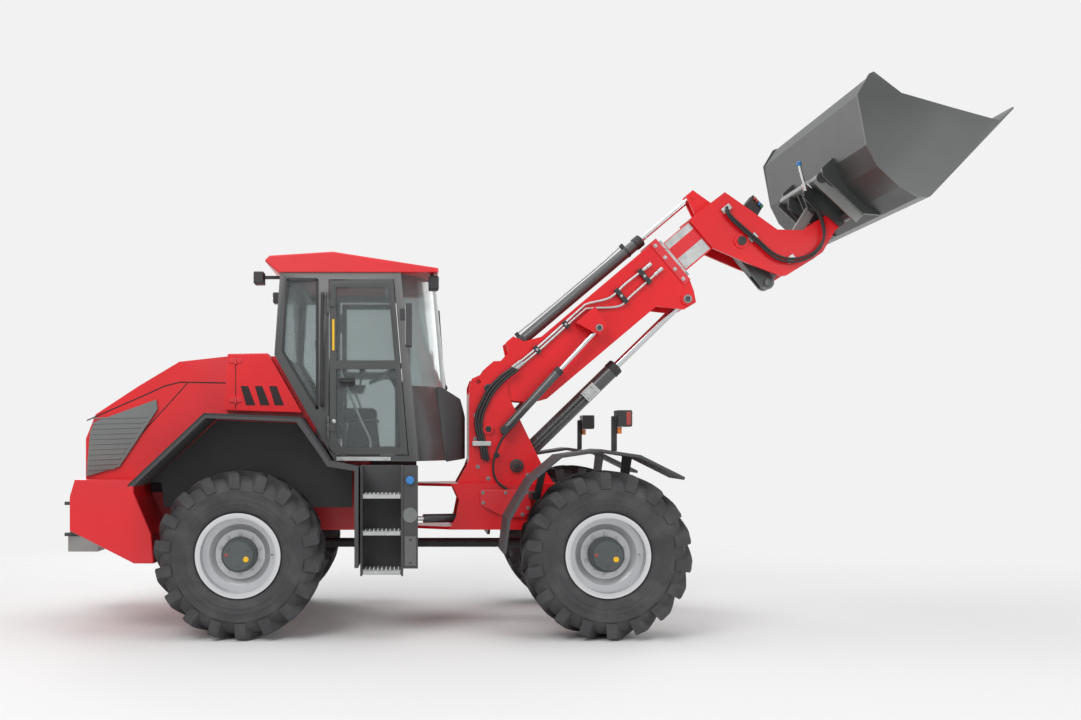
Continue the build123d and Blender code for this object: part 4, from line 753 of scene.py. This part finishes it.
gland = bmesh.new()
lathe(gland, [(0.0675, 1.175), (0.072, 1.178), (0.072, 1.238), (0.066, 1.246), (0.0355, 1.246)],
      lift_base, lift_way, 40)
piece("lift_gland", gland, cast, "lift_barrel")
side_base, side_head = Vector((-0.026, 0, 1.636)), boom(1.040, -0.211)
side_glands = bmesh.new()
for _, out in SIDES:
    lathe(side_glands,
          [(0.0372, 0.655), (0.041, 0.658), (0.041, 0.696), (0.036, 0.702), (0.0212, 0.702)],
          side_base + Vector((0, 0.272 * out, 0)), side_head - side_base, 32)
piece("side_glands", side_glands, cast, "side_barrels")

# Front frame: access covers, bolts, and the rings round the lift cylinder's pin
ACCESS = [(-0.241, 1.130), (-0.236, 1.001), (-0.031, 0.898), (0.131, 0.898), (0.193, 0.963),
          (0.193, 1.130)]
for hand, out in SIDES:
    cover = bmesh.new()
    slab(cover, [side(x, z, 0.3342 * out) for x, z in ACCESS], (0, 0.008 * out, 0))
    piece(f"access_cover_{hand}", cover, red, "front_frame", 0.004)
    fixings = bmesh.new()
    for x, z in ((-0.215, 1.105), (-0.212, 1.020), (-0.025, 0.924), (0.120, 0.922), (0.168, 0.975),
                 (0.168, 1.105), (-0.022, 1.105)):
        bolt(fixings, side(x, z, COVER_FACE * out), (0, out, 0), 0.010)
    for x, z in ((-0.161, 1.220), (0.178, 1.250), (-0.250, 1.320), (-0.270, 1.560), (-0.270, 1.760)):
        bolt(fixings, side(x, z, TOWER_FACE * out), (0, out, 0), 0.012)
    piece(f"frame_bolts_{hand}", fixings, anthracite, "front_frame")
    bore = bmesh.new()
    lathe(bore, [(0.036, 0), (0.058, 0), (0.058, 0.008), (0.052, 0.012), (0.036, 0.012)],
          side(0.080, 1.330, 0.2392 * out), (0, out, 0), 36)
    piece(f"lift_pin_ring_{hand}", bore, cast, "front_frame")

# Steps: zinc treads with raised grips, the door's sill plate, filler cap, blank disc and tank hatch
for hand, out in SIDES:
    treads = bmesh.new()
    for z in (0.532, 0.835, 1.122):
        slab(treads, [(-1.200, 0.832 * out, z), (-0.902, 0.832 * out, z), (-0.902, 1.068 * out, z),
                      (-1.200, 1.068 * out, z)], (0, 0, 0.006))
        for row in range(4):
            for column in range(9):
                place = Vector((-1.180 + 0.0325 * column, (0.862 + 0.056 * row) * out, z + 0.006))
                lathe(treads, [(0.010, 0), (0.007, 0.005), (0.004, 0.005), (0.003, 0.001)],
                      place, (0, 0, 1), 10)
    for z in (0.517, 0.820, 1.107):
        panel(treads, side, (-1.196, z - 0.012), (-0.906, z + 0.015), 1.0765 * out, (0, 0.003 * out, 0))
    piece(f"step_treads_{hand}", treads, zinc, "rear_frame")
    sill = bmesh.new()
    panel(sill, side, (-1.420, 1.384), (-0.985, 1.414), 0.8005 * out, (0, 0.016 * out, 0))
    for x in (-1.38, -1.21, -1.03):
        bolt(sill, side(x, 1.399, 0.8165 * out), (0, out, 0), 0.007)
    piece(f"door_sill_{hand}", sill, zinc, "rear_frame", 0.003)
    filler = bmesh.new()
    lathe(filler, [(0, 0), (0.030, 0), (0.032, 0.006), (0.032, 0.024), (0.024, 0.030), (0, 0.030)],
          side(-0.830, 1.237, TANK_FACE * out), (0, out, 0), 32)
    piece(f"filler_cap_{hand}", filler, blue, "rear_frame")
    disc_plate = bmesh.new()
    lathe(disc_plate, [(0, 0), (0.058, 0), (0.058, 0.002), (0, 0.002)],
          side(-0.830, 0.965, TANK_FACE * out), (0, out, 0), 48)
    piece(f"blank_disc_{hand}", disc_plate, mesh_grey, "rear_frame")
    hatch = bmesh.new()
    panel(hatch, side, (-0.872, 0.570), (-0.782, 0.800), TANK_FACE * out, (0, 0.004 * out, 0))
    for z in (0.595, 0.775):
        bolt(hatch, side(-0.827, z, 1.0742 * out), (0, out, 0), 0.008)
    piece(f"tank_hatch_{hand}", hatch, cab_paint, "rear_frame", 0.002)

# Dark liners that close the rear wheel arches against the hood
ARCH_LINER = [(-2.955, 1.205), (-2.405, 1.712), (-1.712, 1.684), (-1.545, 1.445), (-1.475, 1.340),
              (-1.300, 1.305), (-1.300, 1.000), (-2.840, 1.000), (-2.860, 1.205)]
for hand, out in SIDES:
    liner = bmesh.new()
    slab(liner, [side(x, z, 0.6412 * out) for x, z in ARCH_LINER], (0, 0.004 * out, 0))
    piece(f"arch_liner_{hand}", liner, black_plastic, "rear_frame")

# Hood: panel seams, the crease drawn as a dark strip of painted shade, grille slats, service-box
# hinges, and louvres drawn as dark slabs of painted shade
HOOD_SEAM = [(-3.470, 1.710), (-2.988, 1.921), (-2.833, 1.992), (-2.706, 2.023), (-2.311, 2.016)]
HOOD_CREASE = [(-2.650, 2.013), (-3.086, 1.534), (-3.199, 1.337)]


def flat_line(mesh, points, y, width, out):
    """Thin strip that lies on a side face along a line of points."""
    for (x, z), (far_x, far_z) in zip(points, points[1:]):
        way = Vector((far_x - x, 0, far_z - z)).normalized()
        over = Vector((-way.z, 0, way.x)) * width / 2
        start = Vector((x, y * out, z)) - way * 0.002
        end = Vector((far_x, y * out, far_z)) + way * 0.002
        slab(mesh, [start - over, end - over, end + over, start + over], (0, 0.0012 * out, 0))


for hand, out in SIDES:
    seams_and_crease_shade = bmesh.new()
    flat_line(seams_and_crease_shade, HOOD_SEAM, HOOD_FACE, 0.010, out)
    # The crease strip is painted shade: a dark red line along the fold
    flat_line(seams_and_crease_shade, HOOD_CREASE, HOOD_FACE, 0.008, out)
    flat_line(seams_and_crease_shade, [(-2.235, 1.800), (-2.235, 2.225)], SERVICE_FACE, 0.006, out)
    piece(f"hood_seams_and_crease_shade_{hand}", seams_and_crease_shade, gap_and_painted_shade, "rear_frame")
    slats = bmesh.new()
    for row in range(11):
        z = 1.300 + 0.042 * row
        start_x, end_x = -3.452 + 0.0035 * row, -3.235 + 0.0267 * row
        slab(slats, [side(start_x, z, GRILLE_FACE * out), side(end_x, z + 0.012, GRILLE_FACE * out),
                     side(end_x, z + 0.024, GRILLE_FACE * out),
                     side(start_x, z + 0.012, GRILLE_FACE * out)],
             (0, 0.005 * out, 0))
    piece(f"grille_slats_{hand}", slats, mesh_grey, "rear_frame", 0.002)
    fittings = bmesh.new()
    for z in (2.189, 1.872):
        panel(fittings, side, (-2.285, z - 0.018), (-2.185, z + 0.018), SERVICE_FACE * out,
              (0, 0.010 * out, 0))
        tube(fittings, [side(-2.235, z - 0.030, 0.7830 * out), side(-2.235, z + 0.030, 0.7830 * out)],
             0.010, 12, 1)
    piece(f"service_hinges_{hand}", fittings, red, "rear_frame", 0.003)
    # Louvre slots as dark red slabs on the service box: painted shade for the shadow inside the
    # openings
    louvre_shade = bmesh.new()
    for index in range(3):
        x = -2.150 + 0.115 * index
        slab(louvre_shade, [side(x, 1.830, 0.7704 * out), side(x + 0.075, 1.830, 0.7704 * out),
                       side(x + 0.015, 1.985, 0.7704 * out), side(x - 0.045, 1.985, 0.7704 * out)],
             (0, 0.004 * out, 0))
    piece(f"service_louvre_shade_{hand}", louvre_shade, gap_and_painted_shade, "rear_frame", 0.002)

# Lamps: lenses, side strips, indicators and tail lamps, and the mirrors' glass
for hand, out in SIDES:
    lenses = bmesh.new()
    panel(lenses, facing, (0.815 * out, 1.665), (0.985 * out, 1.775), 0.9152, (0.005, 0, 0))
    piece(f"front_lens_{hand}", lenses, lens, "front_frame", 0.003)
    strip = bmesh.new()
    panel(strip, side, (0.870, 1.668), (0.905, 1.772), 0.9953 * out, (0, 0.004 * out, 0))
    piece(f"front_side_strip_{hand}", strip, lamp_red, "front_frame", 0.002)
    indicator = bmesh.new()
    panel(indicator, facing, (0.850 * out, 1.600), (0.950 * out, 1.652), 0.812, (0.032, 0, 0))
    piece(f"indicator_{hand}", indicator, amber, "front_frame", 0.006)
    work = bmesh.new()
    panel(work, facing, (0.645 * out, 2.775), (0.755 * out, 2.865), -0.5998, (0.004, 0, 0))
    panel(work, facing, (0.585 * out, 2.830), (0.695 * out, 2.910), -2.1002, (-0.004, 0, 0))
    piece(f"work_lenses_{hand}", work, lens, "rear_frame", 0.002)
    mirror_glass = bmesh.new()
    panel(mirror_glass, facing, (0.920 * out, 2.300), (1.062 * out, 2.600), -0.8652, (-0.003, 0, 0))
    piece(f"mirror_glass_{hand}", mirror_glass, chrome, "rear_frame")
    tail = bmesh.new()
    panel(tail, facing, (0.640 * out, 1.010), (0.860 * out, 1.085), -3.5303, (-0.006, 0, 0))
    piece(f"tail_lamp_{hand}", tail, lamp_red, "rear_frame", 0.004)

# Cab: door handles, bars, strips and locks, grab rails, seals, wiper and the boss on the roof
for hand, out in SIDES:
    door_body = f"door_{hand}"
    handle = bmesh.new()
    panel(handle, side, (-1.400, 1.985), (-1.270, 2.050), DOOR_FACE * out, (0, 0.010 * out, 0))
    tube(handle, [side(-1.385, 2.018, 0.812 * out), side(-1.365, 2.018, 0.832 * out),
                  side(-1.300, 2.018, 0.832 * out), side(-1.280, 2.018, 0.812 * out)], 0.009, 10, 6)
    piece(f"door_handle_{hand}", handle, black_plastic, door_body, 0.002)
    bar = bmesh.new()
    tube(bar, [side(-1.395, 2.105, 0.765 * out), side(-1.392, 2.105, 0.748 * out),
               side(-1.250, 1.760, 0.745 * out), side(-1.160, 1.570, 0.745 * out),
               side(-1.150, 1.500, 0.748 * out), side(-1.150, 1.480, 0.765 * out)], 0.011, 12, 6)
    piece(f"door_bar_{hand}", bar, silver, door_body)
    strip = bmesh.new()
    panel(strip, side, (-1.455, 2.270), (-1.437, 2.520), DOOR_FACE * out, (0, 0.001 * out, 0))
    piece(f"door_strip_{hand}", strip, yellow, door_body)
    lock = bmesh.new()
    lathe(lock, [(0, 0), (0.016, 0), (0.016, 0.006), (0.010, 0.008), (0, 0.008)],
          side(-1.440, 1.700, DOOR_FACE * out), (0, out, 0), 24)
    piece(f"door_lock_{hand}", lock, zinc, door_body)
    rail = bmesh.new()
    tube(rail, [side(-1.530, 2.700, 0.801 * out), side(-1.530, 2.690, 0.848 * out),
                side(-1.534, 2.300, 0.852 * out), side(-1.534, 1.860, 0.848 * out),
                side(-1.534, 1.850, 0.801 * out)], 0.013, 12, 8)
    piece(f"grab_rail_{hand}", rail, black_plastic, "rear_frame")
    rear_seal = bmesh.new()
    flat_line(rear_seal, [(-1.575, 1.800), (-1.575, 2.840), (-1.815, 2.840), (-1.850, 2.260),
                          (-1.575, 1.800)], 0.8001, 0.022, out)
    piece(f"quarter_seal_{hand}", rear_seal, black_plastic, "rear_frame")
    lip = bmesh.new()
    flat_line(lip, [(-3.010, 1.194), (-2.420, 1.752), (-1.690, 1.722)], 1.1401, 0.016, out)
    piece(f"fender_lip_{hand}", lip, black_plastic, "rear_frame")
wiper = bmesh.new()
tube(wiper, [(-0.520, 0.0, 2.015), (-0.5405, 0.06, 2.200), (-0.565, 0.130, 2.480)], 0.006, 8, 4)
tube(wiper, [(-0.5370, 0.070, 2.130), (-0.5740, 0.160, 2.700)], 0.007, 8, 1)
lathe(wiper, [(0, 0), (0.022, 0), (0.022, 0.025), (0.012, 0.032), (0, 0.032)], (-0.535, 0, 2.006),
      (1, 0, 0.1), 20)
piece("windscreen_wiper", wiper, black_plastic, "rear_frame")
boss = bmesh.new()
lathe(boss, [(0, 0), (0.060, 0), (0.060, 0.010), (0.040, 0.016), (0, 0.016)], (-1.720, 0.0, 3.042),
      (-0.06, 0, 1), 40)
piece("roof_boss", boss, black_plastic, "rear_frame")

# Arm console with its lever beside the seat, and the dashboard's dials
console = bmesh.new()
slab(console, [side(-1.560, 1.960, 0.300), side(-1.220, 1.960, 0.300), side(-1.200, 2.010, 0.300),
               side(-1.560, 2.020, 0.300)], (0, 0.100, 0))
slab(console, [side(-1.500, 1.700, 0.320), side(-1.400, 1.700, 0.320), side(-1.380, 1.965, 0.320),
               side(-1.500, 1.965, 0.320)], (0, 0.060, 0))
tube(console, [side(-1.250, 2.000, 0.350), side(-1.245, 2.060, 0.350), side(-1.235, 2.110, 0.350)],
     0.010, 10, 4)
lathe(console, [(0, 0), (0.018, 0.006), (0.026, 0.030), (0.022, 0.070), (0, 0.080)],
      side(-1.235, 2.095, 0.350), (0.05, 0, 1), 20)
bmesh.ops.translate(console, vec=(0, -0.700, 0), verts=console.verts)
piece("arm_console", console, black_plastic, "rear_frame", 0.004)
dials = bmesh.new()
for y, radius in ((-0.070, 0.030), (0.0, 0.040), (0.070, 0.030)):
    lathe(dials,
          [(0, 0), (radius, 0), (radius, 0.012), (radius - 0.006, 0.012), (radius - 0.008, 0.006),
                  (0, 0.006)], (-0.925, y, 2.051), (-0.35, 0, 1), 28)
piece("dashboard_dials", dials, zinc, "rear_frame")


# Seat: fabric cushion and back rest on a plastic base, swollen by a cloth simulation
def settled(thing, frames):
    """Mesh of a piece with its modifiers worked out at the last of some frames."""
    for number in range(1, frames + 1):
        bpy.context.scene.frame_set(number)
    bpy.context.view_layer.update()
    graph = bpy.context.evaluated_depsgraph_get()
    return bpy.data.meshes.new_from_object(thing.evaluated_get(graph))


CLOTH_FRAMES = 20
CHANNEL_Y = 0.09
CHANNEL_WIDTH = 0.011
CHANNEL_DEPTH = 0.007


def cushion(name, middle, size, lean, most):
    """Padded block whose faces crown as it is blown up, no point moving further than is allowed."""
    mesh = bmesh.new()
    bmesh.ops.create_cube(mesh, size=1)
    bmesh.ops.scale(mesh, vec=size, verts=mesh.verts)
    bmesh.ops.bevel(mesh, geom=list(mesh.edges), offset=0.026, segments=3, affect="EDGES", profile=0.6)
    bmesh.ops.rotate(mesh, cent=(0, 0, 0), matrix=Matrix.Rotation(lean, 3, "Y"), verts=mesh.verts)
    bmesh.ops.translate(mesh, vec=middle, verts=mesh.verts)
    pad = piece(name, mesh, seat_cloth, "rear_frame")
    even = pad.modifiers.new("even", "REMESH")
    even.mode = "VOXEL"
    even.voxel_size = 0.006
    pad.data = settled(pad, 1)
    pad.modifiers.clear()
    start = [vertex.co.copy() for vertex in pad.data.vertices]
    cloth = pad.modifiers.new("cloth", "CLOTH")
    cloth.settings.use_pressure = True
    cloth.settings.uniform_pressure_force = 4
    cloth.settings.effector_weights.gravity = 0
    pad.data = settled(pad, CLOTH_FRAMES)
    pad.modifiers.clear()
    bpy.context.scene.frame_set(1)
    across = Matrix.Rotation(-lean, 3, "Y")
    for vertex, place in zip(pad.data.vertices, start):
        moved = vertex.co - place
        if moved.length > most:
            vertex.co = place + moved * (most / moved.length)
        local = across @ (vertex.co - Vector(middle))
        for channel in (-CHANNEL_Y, CHANNEL_Y):
            near = max(0.0, 1 - abs(local.y - channel) / CHANNEL_WIDTH)
            dent = across.inverted() @ Vector((0, 0, CHANNEL_DEPTH))
            vertex.co -= dent * near * (1 if local.z > 0 else 0)
    for polygon in pad.data.polygons:
        polygon.use_smooth = True
    pad.data.materials.clear()
    pad.data.materials.append(seat_cloth)
    finer = pad.modifiers.new("finer", "SUBSURF")
    finer.levels = finer.render_levels = 1
    return pad


seat_cushion = cushion("seat_cushion", (-1.330, 0, 1.775), (0.430, 0.450, 0.080), 0.0, 0.010)
back_cushion = cushion("seat_back", (-1.567, 0, 2.105), (0.560, 0.440, 0.060), radians(82.9), 0.010)
seat_base = bmesh.new()
for corners, depth in (
    ([(-1.390, -0.180, 1.4195), (-1.090, -0.180, 1.4195), (-1.120, -0.180, 1.700),
      (-1.360, -0.180, 1.700)], (0, 0.360, 0)),
    ([(-1.540, -0.230, 1.702), (-1.105, -0.230, 1.702), (-1.105, -0.230, 1.728),
      (-1.540, -0.230, 1.728)], (0, 0.460, 0)),
    ([(-1.575, -0.215, 1.728), (-1.540, -0.215, 1.728), (-1.615, -0.215, 2.400),
      (-1.646, -0.215, 2.400)], (0, 0.430, 0)),
):
    slab(seat_base, corners, depth)
base_piece = piece("seat_base", seat_base, black_plastic, "rear_frame", 0.006)
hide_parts("seat")
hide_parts("seat")
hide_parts("seat")
